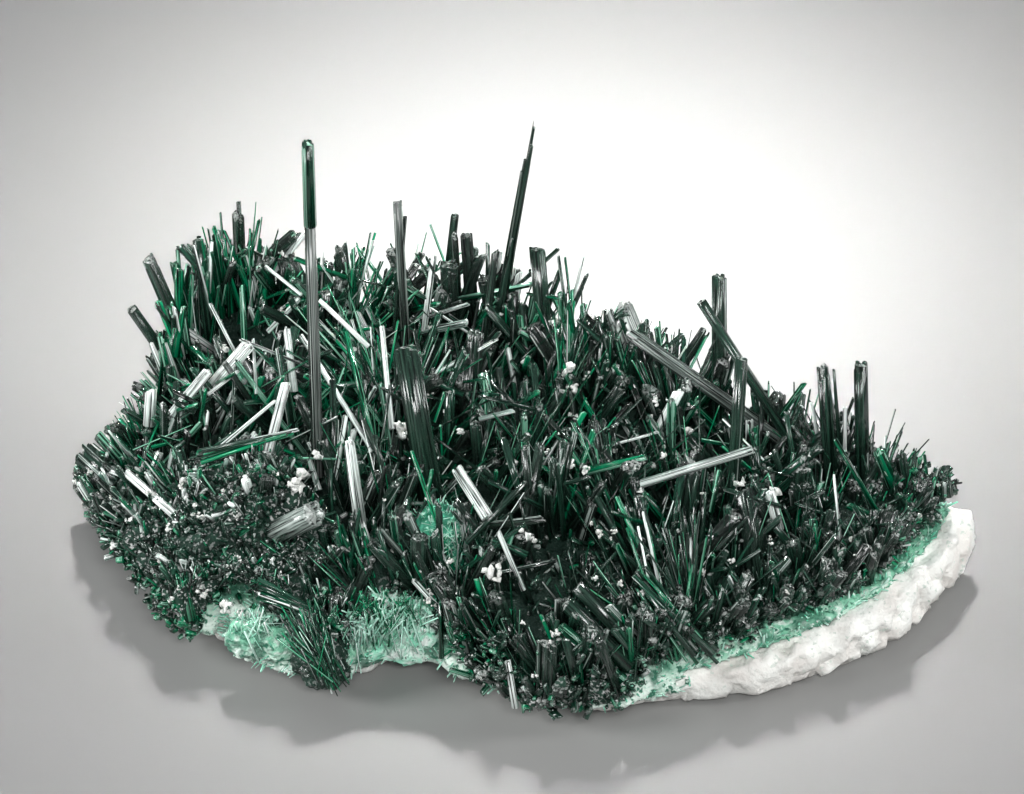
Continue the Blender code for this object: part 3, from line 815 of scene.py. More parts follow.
NEEDLES = Habit(
    groups=120, in_group=14, group_size=0.7, lean=0.34, fan=0.22, scatter=0.05, at_side=300,
    width=(0.13, 0.3), height=(0.7, 1.12), slack=0.7, shy=0.6,
)


def grown(rng, habit, **features):
    """One habit's crystals all over the druse."""
    upwards, sideways = grow_upwards(rng, habit), grow_sideways(rng, habit)
    foot, tip = (np.concatenate(ends) for ends in zip(upwards, sideways))
    return crystals(rng, foot, tip, rng.uniform(*habit.width, len(foot)), **features)


def dealt(rng, rows, green, pale):
    """The crystals dealt out as dark, green and pale ones, where green and pale are their usual shares.

    Pale ones, painted reflection of the lights, are most common at the back left, and green ones at the
    back and the left.
    """
    x, y = rows.foot[:, :2].T
    draw = rng.uniform(0, 1, len(x))
    leftward = np.clip(np.minimum((12 - x) / 20, (x + 40) / 4), 0.2, 1.9)
    pale_here = pale * leftward * np.clip(1 + y / 20, 0.4, 1)
    is_pale = draw < pale_here
    green_here = green * np.clip(1 + y / 24, 0.8, 1.7) * np.clip((34 - x) / 40, 0.5, 1.2)
    is_green = ~is_pale & (draw < pale_here + green_here)
    return [chosen(rows, mask) for mask in (~is_pale & ~is_green, is_green, is_pale)]


def dealt_pieces(rng, name, rows, green, pale, counts=(1, 1, 1), sides=6, green_tone=1.0):
    """The dark, green and pale pieces, the pale one painted reflection, with these counts of strands in a
    crystal.
    """
    for look, part, count in zip(("dark", "green", "pale"), dealt(rng, rows, green, pale), counts):
        if look == "green":
            part = part._replace(tone=green_tone * part.tone)
        if count > 1:
            part = strands(rng, part, count)
        prism_piece(rng, name.format(look), part, look, "crystal_druse", sides=sides)


def build_druse():
    """The druse's crystals by habit. Returns those that crumbs can stick to."""
    rng = np.random.default_rng(SEED)
    huge = grown(rng, HUGE, flat=FLAT, tone=(0.0, 0.4))
    prism_piece(rng, "huge_prisms", strands(rng, huge, count=9), "dark", "crystal_druse")
    large = grown(rng, LARGE, flat=FLAT)
    dealt_pieces(rng, "large_{}_prisms", large, 0.12, 0.07, counts=(6, 5, 6), green_tone=0.45)
    middle = grown(rng, MIDDLE, flat=FLAT)
    dealt_pieces(rng, "{}_prisms", middle, 0.34, 0.09, counts=(3, 1, 3))
    dealt_pieces(rng, "{}_needles", grown(rng, NEEDLES, narrowing=(0.3, 1.0)), 0.6, 0.15, sides=4)
    foot, tip = grow_across(rng)
    rods = crystals(rng, foot, tip, rng.uniform(0.25, 0.9, len(foot)), FLAT)
    dealt_pieces(rng, "{}_rods", rods, 0.4, 0.06, counts=(4, 1, 4))
    return joined((huge, large, middle))


# Crystals that are placed one by one, by look: foot, tip, width, and thickness over width
SET_CRYSTALS = {
    "dark": (
        ((-35.7, 4.3, 5.6), (-39.4, 8.2, 6.9), 2.4, 0.8),
        ((20.5, -13.4, 8.6), (19.2, -10.3, 16.0), 1.9, 0.8),
        ((8.0, -22.4, 7.0), (3.4, -20.9, 11.6), 1.8, 0.7),
        ((9.6, -21.4, 7.2), (4.8, -19.9, 12.2), 1.5, 0.7),
        ((-16.6, -18.6, 3.4), (-19.3, -20.2, 6.6), 1.6, 0.7),
        ((-17.4, -18.0, 3.6), (-18.9, -20.9, 3.4), 1.3, 0.7),
        ((-17.0, -17.6, 5.0), (-18.4, -19.6, 8.6), 1.2, 0.8),
        ((-6.6, 21.5, 15.0), (-5.8, 21.9, 23.0), 0.9, 0.8),
        ((-4.4, 19.0, 15.0), (-4.9, 19.0, 23.0), 1.3, 0.8),
        ((-24.9, 23.5, 14.0), (-25.2, 24.7, 22.3), 0.5, 0.8),
        ((-28.1, 21.1, 12.0), (-28.9, 23.1, 19.5), 1.2, 0.8),
        ((35.2, -2.6, 5.0), (35.4, -1.6, 11.0), 2.2, 0.8),
        ((34.2, 0.9, 6.6), (33.3, 0.8, 11.9), 1.2, 0.7),
        ((4.6, 13.9, 13.0), (3.3, 16.5, 22.0), 0.35, 0.9),
        ((-11.2, 15.9, 14.0), (-10.3, 16.5, 26.3), 0.6, 0.8),
        ((-3.2, 15.6, 14.0), (-2.2, 16.9, 22.4), 0.8, 0.8),
    ),
    "grey": (
        ((10.4, 12.7, 13.2), (8.3, 13.8, 18.8), 3.1, 0.8),
    ),
    "green": (
        ((-13.6, 2.6, 14.4), (-15.5, 9.9, 18.4), 0.65, 0.8),
        ((12.6, -20.6, 6.6), (9.1, -15.3, 15.1), 0.35, 0.9),
        ((13.2, -20.6, 6.6), (10.9, -14.6, 15.3), 0.35, 0.9),
        ((13.9, -20.6, 6.6), (14.8, -16.7, 12.4), 0.35, 0.9),
        ((7.4, -23.2, 5.8), (3.0, -22.3, 9.8), 1.5, 0.6),
        ((-6.9, -19.2, 3.9), (-7.0, -17.9, 9.1), 0.55, 0.8),
        ((-15.6, -17.8, 5.0), (-16.4, -19.4, 8.8), 1.3, 0.7),
        ((-16.4, -18.0, 4.0), (-17.6, -21.0, 5.0), 0.8, 0.8),
        ((-28.9, -13.5, 3.8), (-29.8, -11.9, 7.9), 1.4, 0.7),
        ((23.1, 4.9, 13.0), (25.1, 6.0, 15.6), 0.55, 0.8),
        ((4.2, 13.4, 13.5), (3.4, 14.4, 19.6), 0.5, 0.7),
        ((5.0, 12.6, 13.0), (4.2, 13.6, 19.4), 0.6, 0.6),
        ((6.0, 12.4, 13.0), (5.4, 13.4, 19.0), 0.6, 0.6),
        ((-24.6, 14.8, 13.6), (-24.8, 17.0, 18.6), 0.6, 0.6),
        ((-7.8, 17.8, 14.6), (-6.2, 19.0, 20.0), 0.4, 0.6),
        ((30.6, -4.0, 10.0), (27.4, -2.0, 15.2), 0.45, 0.7),
        ((33.3, 0.6, 7.0), (31.4, 0.2, 12.6), 1.3, 0.6),
        ((36.2, -0.8, 5.0), (35.6, -0.6, 10.6), 1.0, 0.6),
        ((5.0, 14.2, 13.0), (3.9, 16.9, 21.6), 0.3, 0.9),
    ),
    # Pale ones are painted reflection: crystals painted pale as if their faces mirrored the lights
    "pale": (
        ((-26.9, 9.8, 13.0), (-23.8, 9.1, 17.8), 1.35, 0.3),
        ((-30.4, 9.5, 10.4), (-27.6, 9.2, 14.6), 1.1, 0.4),
        ((-27.0, 8.4, 13.2), (-24.8, 8.2, 15.4), 0.4, 0.6),
        ((-25.2, 0.2, 13.9), (-21.4, 1.6, 16.8), 0.4, 0.7),
        ((-25.4, 11.5, 15.1), (-27.6, 14.5, 18.2), 0.4, 0.7),
        ((-33.0, 10.0, 9.0), (-32.8, 10.6, 11.8), 1.2, 0.6),
        ((-14.5, 10.8, 17.2), (-17.9, 13.6, 19.2), 0.5, 0.6),
        ((-19.5, 15.4, 18.4), (-22.8, 18.6, 19.4), 0.4, 0.7),
        ((-20.2, 8.0, 14.8), (-20.7, 9.9, 19.0), 0.8, 0.5),
        ((-21.9, 0.0, 13.6), (-20.6, 2.9, 17.8), 0.9, 0.4),
        ((-29.8, -6.7, 9.7), (-35.0, 1.0, 9.6), 0.9, 0.7),
        ((-11.6, 4.1, 14.4), (-12.3, 10.6, 18.4), 0.6, 0.8),
        ((-14.5, 0.4, 15.0), (-19.5, 9.2, 18.5), 0.5, 0.8),
        ((-8.4, 17.2, 15.2), (-7.7, 20.2, 19.7), 0.65, 0.8),
        ((-2.9, -12.6, 14.2), (-5.7, -7.2, 15.8), 1.3, 0.5),
        ((-0.3, -17.9, 11.7), (-2.0, -16.4, 15.5), 0.5, 0.7),
        ((22.3, -9.3, 11.5), (21.6, -9.4, 14.8), 1.05, 0.8),
        ((12.0, -17.8, 10.5), (10.5, -15.0, 16.7), 0.3, 0.8),
        ((11.1, -17.8, 10.9), (10.1, -15.8, 15.6), 0.25, 0.8),
        ((14.6, -17.5, 9.1), (14.7, -15.5, 14.2), 0.28, 0.8),
        ((14.7, -19.0, 7.0), (13.7, -17.0, 9.4), 0.4, 0.8),
        ((17.3, -18.5, 7.1), (15.9, -16.5, 9.8), 0.4, 0.8),
        ((27.8, -8.5, 10.1), (27.3, -6.0, 14.2), 0.28, 0.8),
        ((28.5, 2.0, 12.0), (28.5, 3.0, 15.0), 0.4, 0.8),
        ((5.8, -23.6, 5.6), (3.4, -23.4, 7.2), 0.6, 0.6),
        ((-0.6, -24.0, 3.0), (-1.2, -23.6, 7.0), 0.7, 0.7),
        ((12.6, 1.9, 14.4), (13.9, 1.4, 17.9), 1.05, 0.8),
    ),
}
SET_TONES = {"dark": (0.1, 0.6), "grey": (0.2, 0.7), "green": (0.2, 0.8), "pale": (0.75, 1.0)}


def reach_down(foot, tip):
    """Lengthen upright crystals at the foot until they stand in the fused body."""
    upright = (tip - foot)[:, 2] > 0.3 * np.linalg.norm(tip - foot, axis=1)
    lengthened = foot
    longest, steps = 1.3, 7
    for share in np.linspace(1.0, longest, steps):
        above = upright & (lengthened[:, 2] > at(DRUSE.body, lengthened[:, 0], lengthened[:, 1]) - 0.5)
        lengthened = np.where(above[:, None], tip + (foot - tip) * share, lengthened)
    lengthened[:, 2] = np.maximum(lengthened[:, 2], 0.4)
    return lengthened


def turned_to_viewer(rows):
    """The crystals rolled until their wide sides face the viewer."""
    along, first, second = axes_of(rows._replace(roll=np.zeros(len(rows.roll))))
    across = np.cross(along, TO_VIEWER)
    return rows._replace(roll=np.arctan2((across * second).sum(1), (across * first).sum(1)))


def build_set_crystals():
    rng = np.random.default_rng(SEED + 2)
    for look, rows in SET_CRYSTALS.items():
        foot, tip, width, thick = (np.array(column) for column in zip(*rows))
        foot = reach_down(foot, tip)
        placed = crystals(rng, foot, tip, width, narrowing=(0.85, 1.0), tone=SET_TONES[look])
        placed = turned_to_viewer(placed._replace(thick=width * thick))
        placed = strands(rng, placed, count=8)
        prism_piece(rng, f"set_{look}_prisms", placed, look, "crystal_druse")


# Crumbs and grains


def crumb_piece(rng, name, places, sizes, look):
    """Small broken lumps with flat faces: a ball of few faces each, squeezed and dented at random."""
    bm = bmesh.new()
    bmesh.ops.create_icosphere(bm, subdivisions=1, radius=1.0)
    points = np.array([vert.co[:] for vert in bm.verts])
    faces = np.array([[vert.index for vert in face.verts] for face in bm.faces])
    bm.free()
    count = len(places)
    lumps = points * rng.uniform(0.35, 1.15, (count, len(points), 1)) * rng.uniform(0.4, 1.1, (count, 1, 3))
    lumps = lumps * sizes[:, None, None] + places[:, None, :]
    corners = (faces.ravel() + len(points) * np.arange(count)[:, None]).ravel()
    obj = new_mesh(name, lumps.reshape(-1, 3), corners, np.full(len(faces) * count, 3))
    return finish_piece(obj, look)


def clustered(rng, places, sizes):
    """Each lump as several smaller ones that touch each other."""
    in_cluster = 7
    count = len(places) * in_cluster
    places = np.repeat(places, in_cluster, axis=0)
    sizes = np.repeat(sizes, in_cluster)
    return places + rng.normal(0, 0.32, (count, 3)) * sizes[:, None], sizes * rng.uniform(0.3, 0.8, count)


# How many places are tried for crumbs, for grains and for crystals along the druse's lower edge
CRUMB_TRIES = 1500
GRAIN_TRIES = 9000
FRINGE_TRIES = 2600
CRUMB_GROWTH = 1.5  # since a cluster of lumps looks smaller than its reach
# Some set crumbs are painted glints: white lumps where crystal ends catch the light
# Crumbs that are placed one by one: x, y, z and reach
SET_CRUMBS_AND_GLINTS = (
    (-29.8, -2.6, 10.6, 0.52),
    (-28.1, -8.2, 11.3, 0.61),
    (-25.0, -8.4, 11.7, 0.35),
    (-27.7, -13.0, 6.6, 0.44),
    (-25.6, -12.0, 4.5, 0.61),
    (-24.3, -12.0, 3.6, 0.35),
    (-10.6, 2.2, 13.1, 0.70),
    (-2.3, -18.6, 12.7, 0.70),
    (-5.3, 1.2, 13.8, 0.35),
    (19.3, -8.8, 14.9, 0.70),
    (22.2, -9.0, 14.5, 0.39),
    (10.4, -7.4, 13.2, 0.31),
    (6.4, -19.6, 12.8, 0.26),
    (8.5, -19.6, 12.3, 0.26),
    (18.3, -15.2, 11.4, 0.31),
    (21.6, -13.0, 12.0, 0.26),
    (2.8, -23.6, 9.8, 0.44),
    (0.8, -16.2, 14.7, 0.61),
    (11.7, 1.8, 16.5, 0.35),
    (14.8, -1.6, 15.7, 0.35),
    (5.6, -8.4, 16.2, 0.35),
    (4.7, 5.8, 15.3, 0.44),
    (4.3, 8.0, 15.9, 0.52),
    (-0.8, -2.8, 13.1, 0.35),
    (10.4, -19.6, 11.2, 0.26),
    (15.7, -15.6, 10.6, 0.31),
    (-17.8, -3.8, 14.6, 0.44),
    (-10.2, 1.6, 12.8, 0.61),
    (3.0, 13.2, 16.9, 0.35),
    (-6.2, -15.8, 11.8, 0.35),
    (-19.3, -6.2, 13.6, 0.8),
    (-31.6, -10.0, 7.7, 0.26),
    (-34.2, -5.4, 8.8, 0.35),
    (-15.0, 10.2, 16.0, 0.35),
)


def brought_forward(places):
    """Places below the fused body's top, moved towards the viewer until they lie on it."""
    step, steps, clear = 0.25, 30, 0.6
    for _ in range(steps):
        x, y, z = places.T
        buried = z < at(DRUSE.body, x, y) + clear
        places = places + step * buried[:, None] * TO_VIEWER
    return places


def build_crumbs(hosts):
    """White crumbs of rock on the crystals, more where the druse is fine-grained, some of them painted
    glints.
    """
    rng = np.random.default_rng(SEED + 3)
    count = CRUMB_TRIES
    hosts = chosen(hosts, rng.integers(0, len(hosts.width), count))
    share = rng.uniform(0.6, 1.03, count)
    places = hosts.foot + (hosts.tip - hosts.foot) * share[:, None]
    places[:, :2] += rng.normal(0, 1, (count, 2)) * 0.3 * hosts.width[:, None]
    x, y = places[:, :2].T
    patches = np.clip(2 * waves(x, y, 4.0), 0, 1)
    # More lumps in the crumbs-and-glints zone, where they are partly painted glints
    wanted = 0.12 + (0.2 + 0.7 * fineness(x, y)) * patches + depth_in(CRUMBS_AND_GLINTS_ZONE, x, y)
    places = places[(rng.uniform(0, 1, count) < wanted) & in_box(x, y)]
    sizes = rng.uniform(0.12, 0.3, len(places)) * rng.choice((1.0, 1.0, 1.7), len(places))
    set_crumbs = np.array(SET_CRUMBS_AND_GLINTS)
    places = np.concatenate((places, brought_forward(set_crumbs[:, :3])))
    sizes = np.concatenate((sizes, CRUMB_GROWTH * set_crumbs[:, 3]))
    crumb_piece(rng, "white_crumbs_and_glints", *clustered(rng, places, sizes), "crumb")


def build_grains():
    """Short crystals that lie every way on the fused body, most of them in the fine-grained zone."""
    rng = np.random.default_rng(SEED + 4)
    places = random_places(rng, GRAIN_TRIES, 0.6)
    places = places[~crowded_out(rng, places, 0.0)]
    x, y = places.T
    kept = rng.uniform(0, 1, len(x)) < np.clip(1.6 * depth_in(FINE_GRAINED, x, y), 0.25, 1)
    x, y = x[kept], y[kept]
    count = len(x)
    direction = unit(rng.normal(0, 1, (count, 3)) + (0, 0, 0.8))
    direction[:, 2] = np.abs(direction[:, 2])
    body = at(DRUSE.body, x, y)
    foot = np.stack((x, y, body - rng.uniform(0.0, 0.5, count)), 1)
    tip = cut_to_field(foot, foot + direction * rng.uniform(0.5, 2.0, count)[:, None], 0.2)
    grains = crystals(rng, foot, tip, rng.uniform(0.2, 0.75, count), (0.5, 1.0))
    dealt_pieces(rng, "{}_grains", grains, 0.14, 0.09)


def build_fringe():
    """Small crystals along the druse's lower edge, which hang over the crust and hide where it begins."""
    rng = np.random.default_rng(SEED + 8)
    x, y = random_places(rng, FRINGE_TRIES, 0.1, 1.8).T
    out_x, out_y = outward(x, y)
    on_crust = ~np.isnan(look_down(CRUST_TREE, x + 1.4 * out_x, y + 1.4 * out_y))
    kept = rng.uniform(0, 1, len(x)) < np.where(on_crust, 0.25, 0.9)
    x, y, out_x, out_y = x[kept], y[kept], out_x[kept], out_y[kept]
    count = len(x)
    under = at(DRUSE.under, x, y)
    height = np.minimum(under + rng.uniform(-0.5, 2.6, count), at(DRUSE.tips, x, y) - 1.5)
    foot = np.stack((x, y, np.maximum(height, 0.8)), 1)
    direction = np.stack((out_x, out_y, rng.uniform(-0.9, 0.7, count)), 1)
    direction = unit(direction + rng.normal(0, 1.1, direction.shape))
    tip = foot + direction * rng.uniform(0.4, 1.3, count)[:, None]
    kept = in_box(tip[:, 0], tip[:, 1]) & (tip[:, 2] > 0.4)
    rows = chosen(crystals(rng, foot, tip, rng.uniform(0.25, 0.85, count)), kept)
    dealt_pieces(rng, "{}_fringe", rows, 0.6, 0.06)


class Fan(NamedTuple):
    """Needles or prisms that spread from one foot. spread is how far apart their tips are."""

    foot: tuple
    tip: tuple
    spread: float
    count: int
    thickest: float = 0.36
    foot_spread: float = 0.5


FANS = (
    Fan((14.7, -17.5, 6.4), (12.9, -15.4, 16.9), 2.5, 44),
    Fan((15.4, -21.0, 6.4), (9.8, -18.6, 13.1), 0.5, 18, 0.7, 0.7),
    Fan((12.7, -20.0, 4.2), (6.7, -17.2, 11.7), 1.6, 18),
    Fan((8.2, -4.0, 9.0), (5.0, -2.0, 16.8), 2.0, 20),
    Fan((-12.0, 10.0, 11.0), (-16.0, 14.0, 19.0), 2.2, 24),
    Fan((4.0, 10.0, 12.0), (5.5, 14.6, 19.2), 2.0, 30),
    Fan((7.0, 11.0, 12.0), (8.6, 13.2, 17.8), 1.8, 20),
    Fan((-15.0, 20.0, 13.0), (-14.6, 23.6, 19.4), 2.0, 26),
    Fan((31.0, 0.0, 6.0), (33.2, 2.2, 13.4), 1.8, 22),
    Fan((25.0, -11.0, 5.0), (27.0, -11.5, 11.8), 2.0, 18),
    Fan((-30.0, 21.0, 11.0), (-30.4, 22.3, 17.6), 1.0, 12, 1.1),
    Fan((-30.5, 16.5, 11.0), (-31.3, 17.4, 17.0), 0.9, 12, 1.1),
    Fan((-31.0, 14.0, 9.0), (-32.0, 15.0, 15.4), 0.8, 10, 1.1),
    Fan((-27.8, 22.0, 12.0), (-28.2, 22.8, 19.6), 0.9, 14, 1.0),
    Fan((-26.4, 22.6, 12.0), (-26.8, 23.4, 20.3), 1.0, 16, 0.8),
    Fan((-23.6, 22.8, 12.0), (-23.9, 23.8, 19.4), 1.2, 16, 0.8),
    Fan((-18.5, -18.8, 7.4), (-16.2, -21.2, 2.2), 0.8, 170, 0.24, 1.0),
    Fan((-28.0, -1.8, 13.2), (-19.6, -1.9, 15.9), 0.25, 36, 0.5, 0.3),
    Fan((-22.6, -15.9, 9.0), (-16.4, -18.4, 7.4), 0.25, 34, 0.5, 0.3),
    Fan((-14.2, -12.5, 8.5), (-14.9, -11.6, 14.5), 0.9, 16, 0.8, 0.6),
)
LOBE_FANS = (
    Fan((-13.4, -17.0, 6.2), (-13.4, -17.4, 9.2), 0.8, 70, 0.24, 1.0),
    Fan((-10.4, -17.0, 6.2), (-10.2, -17.4, 9.2), 0.8, 70, 0.24, 1.0),
)
CRUST_FANS = (
    Fan((-13.8, -17.2, 4.4), (-14.0, -18.6, 7.8), 1.1, 120, 0.24, 1.0),
    Fan((-11.0, -16.6, 5.4), (-10.8, -17.6, 8.6), 1.2, 100, 0.24, 1.1),
    Fan((-9.4, -16.4, 5.0), (-9.0, -17.4, 8.0), 1.1, 70, 0.24, 1.0),
    Fan((-22.6, -17.8, 5.4), (-22.8, -18.4, 8.0), 1.2, 24, 0.24, 1.0),
    Fan((-7.0, -9.4, 8.0), (-6.6, -11.0, 11.6), 1.6, 60, 0.2, 1.2),
    Fan((-18.4, -18.8, 7.0), (-16.2, -21.1, 2.6), 0.5, 12, 0.18, 0.9),
)


def fanned(rng, fans):
    """The needles of some fans."""
    count = np.array([fan.count for fan in fans])
    foot, tip = (np.repeat([fan[end] for fan in fans], count, axis=0) for end in (0, 1))
    spread, thickest, foot_spread = (np.repeat([fan[i] for fan in fans], count) for i in (2, 4, 5))
    foot = foot + rng.normal(0, 1, foot.shape) * foot_spread[:, None]
    apart = rng.normal(0, 1, foot.shape) * spread[:, None] * (1, 0.6, 0.4)
    tip = foot + (tip - foot + apart) * rng.uniform(0.6, 1, (len(foot), 1))
    tip[:, 2] = np.maximum(tip[:, 2], 0.8)
    return crystals(rng, foot, tip, thickest * rng.uniform(0.45, 1.0, len(foot)), narrowing=(0.5, 1.0))


def build_fans():
    rng = np.random.default_rng(SEED + 9)
    dealt_pieces(rng, "fan_{}_needles", fanned(rng, FANS), 0.55, 0.1)
    lobes = fanned(rng, LOBE_FANS)
    prism_piece(rng, "lobe_needles", lobes._replace(tone=0.3 + 0.7 * lobes.tone), "green")
    fibres = fanned(rng, CRUST_FANS)
    prism_piece(rng, "fan_fibres", fibres._replace(tone=0.4 + 0.6 * fibres.tone), "fibre", sides=4)


# Lumps where the crust shows in a pocket among the crystals and at the front, and those of the dark tongue
# between them: the centre and the reach along each axis
POCKET_LUMPS = (
    ((-7.2, -7.8, 8.4), (2.6, 2.6, 3.2)),
    ((-8.2, -11.2, 6.6), (2.4, 2.6, 2.6)),
    ((-5.7, -10.4, 6.8), (1.8, 2.2, 2.4)),
)
PALE_LUMPS = (
    ((-11.6, -15.2, 5.2), (2.9, 2.3, 2.2)),
    ((-9.0, -15.6, 5.0), (2.6, 2.2, 2.2)),
    ((-13.2, -15.8, 3.4), (2.2, 2.0, 1.9)),
    ((-10.2, -15.6, 3.0), (2.6, 2.0, 1.8)),
)
DULL_LUMPS = (
    ((-23.4, -17.2, 4.6), (2.4, 1.7, 1.7)),
    ((-21.2, -17.6, 4.4), (2.2, 1.6, 1.6)),
)
TONGUE_LUMPS = (
    ((-18.2, -17.6, 5.6), (1.9, 1.9, 2.0)),
    ((-17.6, -18.8, 4.0), (2.5, 1.9, 2.4)),
    ((-17.0, -19.5, 2.9), (2.2, 1.5, 1.8)),
)
TONGUE_FINENESS = 0.4  # how strongly it is mottled


def lump_piece(name, lumps, look):
    """Rough balls as one mesh."""
    bm = bmesh.new()
    for centre, reach in lumps:
        for vert in bmesh.ops.create_icosphere(bm, subdivisions=4, radius=1.0)["verts"]:
            vert.co = (Vector(centre) + Vector(c * r for c, r in zip(vert.co, reach))) * MM
    mesh = bpy.data.meshes.new(name)
    bm.to_mesh(mesh)
    bm.free()
    shift_along_normals(mesh, lumpy)
    return finish_piece(new_object(name, mesh), look)


def build_lumps():
    """Lumps of crust where it shows among the crystals, with loose needles on them, and the tongue."""
    rng = np.random.default_rng(SEED + 7)
    pocket = lump_piece("pocket_lumps", POCKET_LUMPS, "pocket")
    bright = lump_piece("pale_lumps", PALE_LUMPS, "druzy")
    dull = lump_piece("dull_lumps", DULL_LUMPS, "crust")
    tongue = lump_piece("tongue_body", TONGUE_LUMPS, "fused").data
    add_value(tongue, "fine", np.full(len(tongue.vertices), TONGUE_FINENESS))
    needled = ((pocket, 260), (bright, 320), (dull, 100))
    ends = [loose_needles(rng, lumps.data, count) for lumps, count in needled]
    foot, tip = (np.concatenate(part) for part in zip(*ends))
    needles = crystals(rng, foot, tip, rng.uniform(0.08, 0.22, len(foot)), narrowing=(0.4, 1.0))
    fibres, green, pale = dealt(rng, needles, 0.05, 0.12)
    prism_piece(rng, "loose_fibres", fibres, "fibre", sides=4)
    prism_piece(rng, "loose_green_needles", green, "green", sides=4)
    # The pale needles are painted reflection
    prism_piece(rng, "loose_pale_needles", pale, "pale", sides=4)


def loose_needles(rng, mesh, count):
    """Needles that lie on a mesh's upper side, each across it with one end touching it."""
    places, normals = places_and_normals(mesh)
    picked = rng.choice(np.flatnonzero(normals[:, 2] > 0.1), count)
    direction = unit(normals[picked] + rng.normal(0, 0.6, (count, 3)) + (0, 0, 0.8))
    foot = places[picked] - direction * 0.2
    return foot, foot + direction * rng.uniform(0.4, 1.7, count)[:, None]


def slab_faces(filled):
    """The quads of a slab's top, underside and walls, where filled says which cells of a grid it covers.

    Its points are the grid's upper ones, and then the lower ones.
    """
    rows, columns = filled.shape[0] + 1, filled.shape[1] + 1
    lower = rows * columns
    index = np.arange(lower).reshape(rows, columns)
    a, b = index[:-1, :-1][filled], index[1:, :-1][filled]
    c, d = index[1:, 1:][filled], index[:-1, 1:][filled]
    faces = [np.stack((a, b, c, d), 1), np.stack((d, c, b, a), 1) + lower]
    padded = np.pad(filled, 1)
    for shift, first, second in (((0, -1), a, b), ((1, 0), b, c), ((0, 1), c, d), ((-1, 0), d, a)):
        open_side = ~np.roll(padded, (-shift[0], -shift[1]), (0, 1))[1:-1, 1:-1][filled]
        p, q = first[open_side], second[open_side]
        faces.append(np.stack((q, p, p + lower, q + lower), 1))
    return np.concatenate(faces)


def build_fused_body():
    """The dark mass that the crystals stand on, between the body's field and the druse's underside."""
    reach = np.array(DRUSE.tips.shape) * GRID
    xs, ys = (np.arange(0, size - GRID, BODY_GRID) + corner for size, corner in zip(reach, DRUSE.corner))
    x, y = np.meshgrid(xs, ys, indexing="ij")
    inside = at(DRUSE.inside, x, y) - BODY_INSET
    dome = np.sqrt(np.clip(inside / BODY_EDGE, 0, 1))
    body, under = at(DRUSE.body, x, y), at(DRUSE.under, x, y)
    middle = 0.5 * (body + under)
    top = middle + (body - middle) * dome
    low = middle - (middle - under - BODY_LIFT) * dome
    points = np.concatenate([np.stack((x, y, z), -1).reshape(-1, 3) for z in (top, low)])
    rows, columns = x.shape
    corners = [inside[i:rows - 1 + i, j:columns - 1 + j] for i in (0, 1) for j in (0, 1)]
    faces = slab_faces(np.minimum.reduce(corners) > 0)
    used, corners = np.unique(faces, return_inverse=True)
    body = new_mesh("fused_body", points[used], corners.ravel(), np.full(len(faces), 4))
    x, y = points[used, :2].T
    near_edge = np.clip((BODY_MOTTLED - at(DRUSE.inside, x, y)) / MOTTLED_BLEND, 0, 1)
    add_value(body.data, "fine", np.maximum(fineness(x, y), near_edge))
    shift_along_normals(body.data, grainy)
    finish_piece(body, "fused", "crystal_druse")


def grainy(place):
    """The fused body's relief: lumps with creases between them, of two sizes."""
    large, small = (noise.voronoi(place * size)[0][0] for size in (0.55, 1.3))
    return 0.35 - 0.6 * large - 0.35 * small


EVEN_GRID = 0.4  # of the crust's and the rock's meshes
CRUST_GRAINS = 2600
CRUST_FIBRES = 8000
CHIPS = 2600  # facets of the broken rock


def smooth_copy(node, name):
    """A CAD node's form as one even, slightly smoothed mesh."""
    obj = new_object(name, NODES[node].data.copy())
    remesh = obj.modifiers.new("even", "REMESH")
    remesh.mode = "VOXEL"
    remesh.voxel_size = EVEN_GRID * MM
    soften = obj.modifiers.new("soften", "SMOOTH")
    soften.factor = 0.9
    soften.iterations = 2
    mesh = bpy.data.meshes.new_from_object(obj.evaluated_get(bpy.context.evaluated_depsgraph_get()))
    old = obj.data
    obj.modifiers.clear()
    obj.data = mesh
    bpy.data.meshes.remove(old)
    mesh.name = name
    mesh.shade_smooth()
    return obj


def shift_along_normals(mesh, amount):
    """Move each vertex along its normal by amount(its place), all in millimetres."""
    count = len(mesh.vertices)
    places = np.empty(count * 3, np.float32)
    mesh.vertices.foreach_get("co", places)
    normals = np.empty(count * 3, np.float32)
    mesh.vertex_normals.foreach_get("vector", normals)
    places = places.reshape(-1, 3) / MM
    normals = normals.reshape(-1, 3)
    moves = np.array([amount(Vector(place)) for place in places])
    places = places + normals * moves[:, None]
    mesh.vertices.foreach_set("co", (places * MM).astype(np.float32).ravel())
    mesh.update()


def lumpy(place):
    """The crust's relief: grains with creases between them, of two sizes."""
    large, small = (noise.voronoi(place * size)[0][0] for size in (1.1, 2.6))
    return 0.4 + 0.3 * noise.noise(place * 0.8) - 0.45 * large - 0.3 * small


def build_crust():
    crust = smooth_copy("green_crust", "crust")
    shift_along_normals(crust.data, lumpy)
    finish_piece(crust, "crust", "green_crust")
    build_fibres(crust.data)


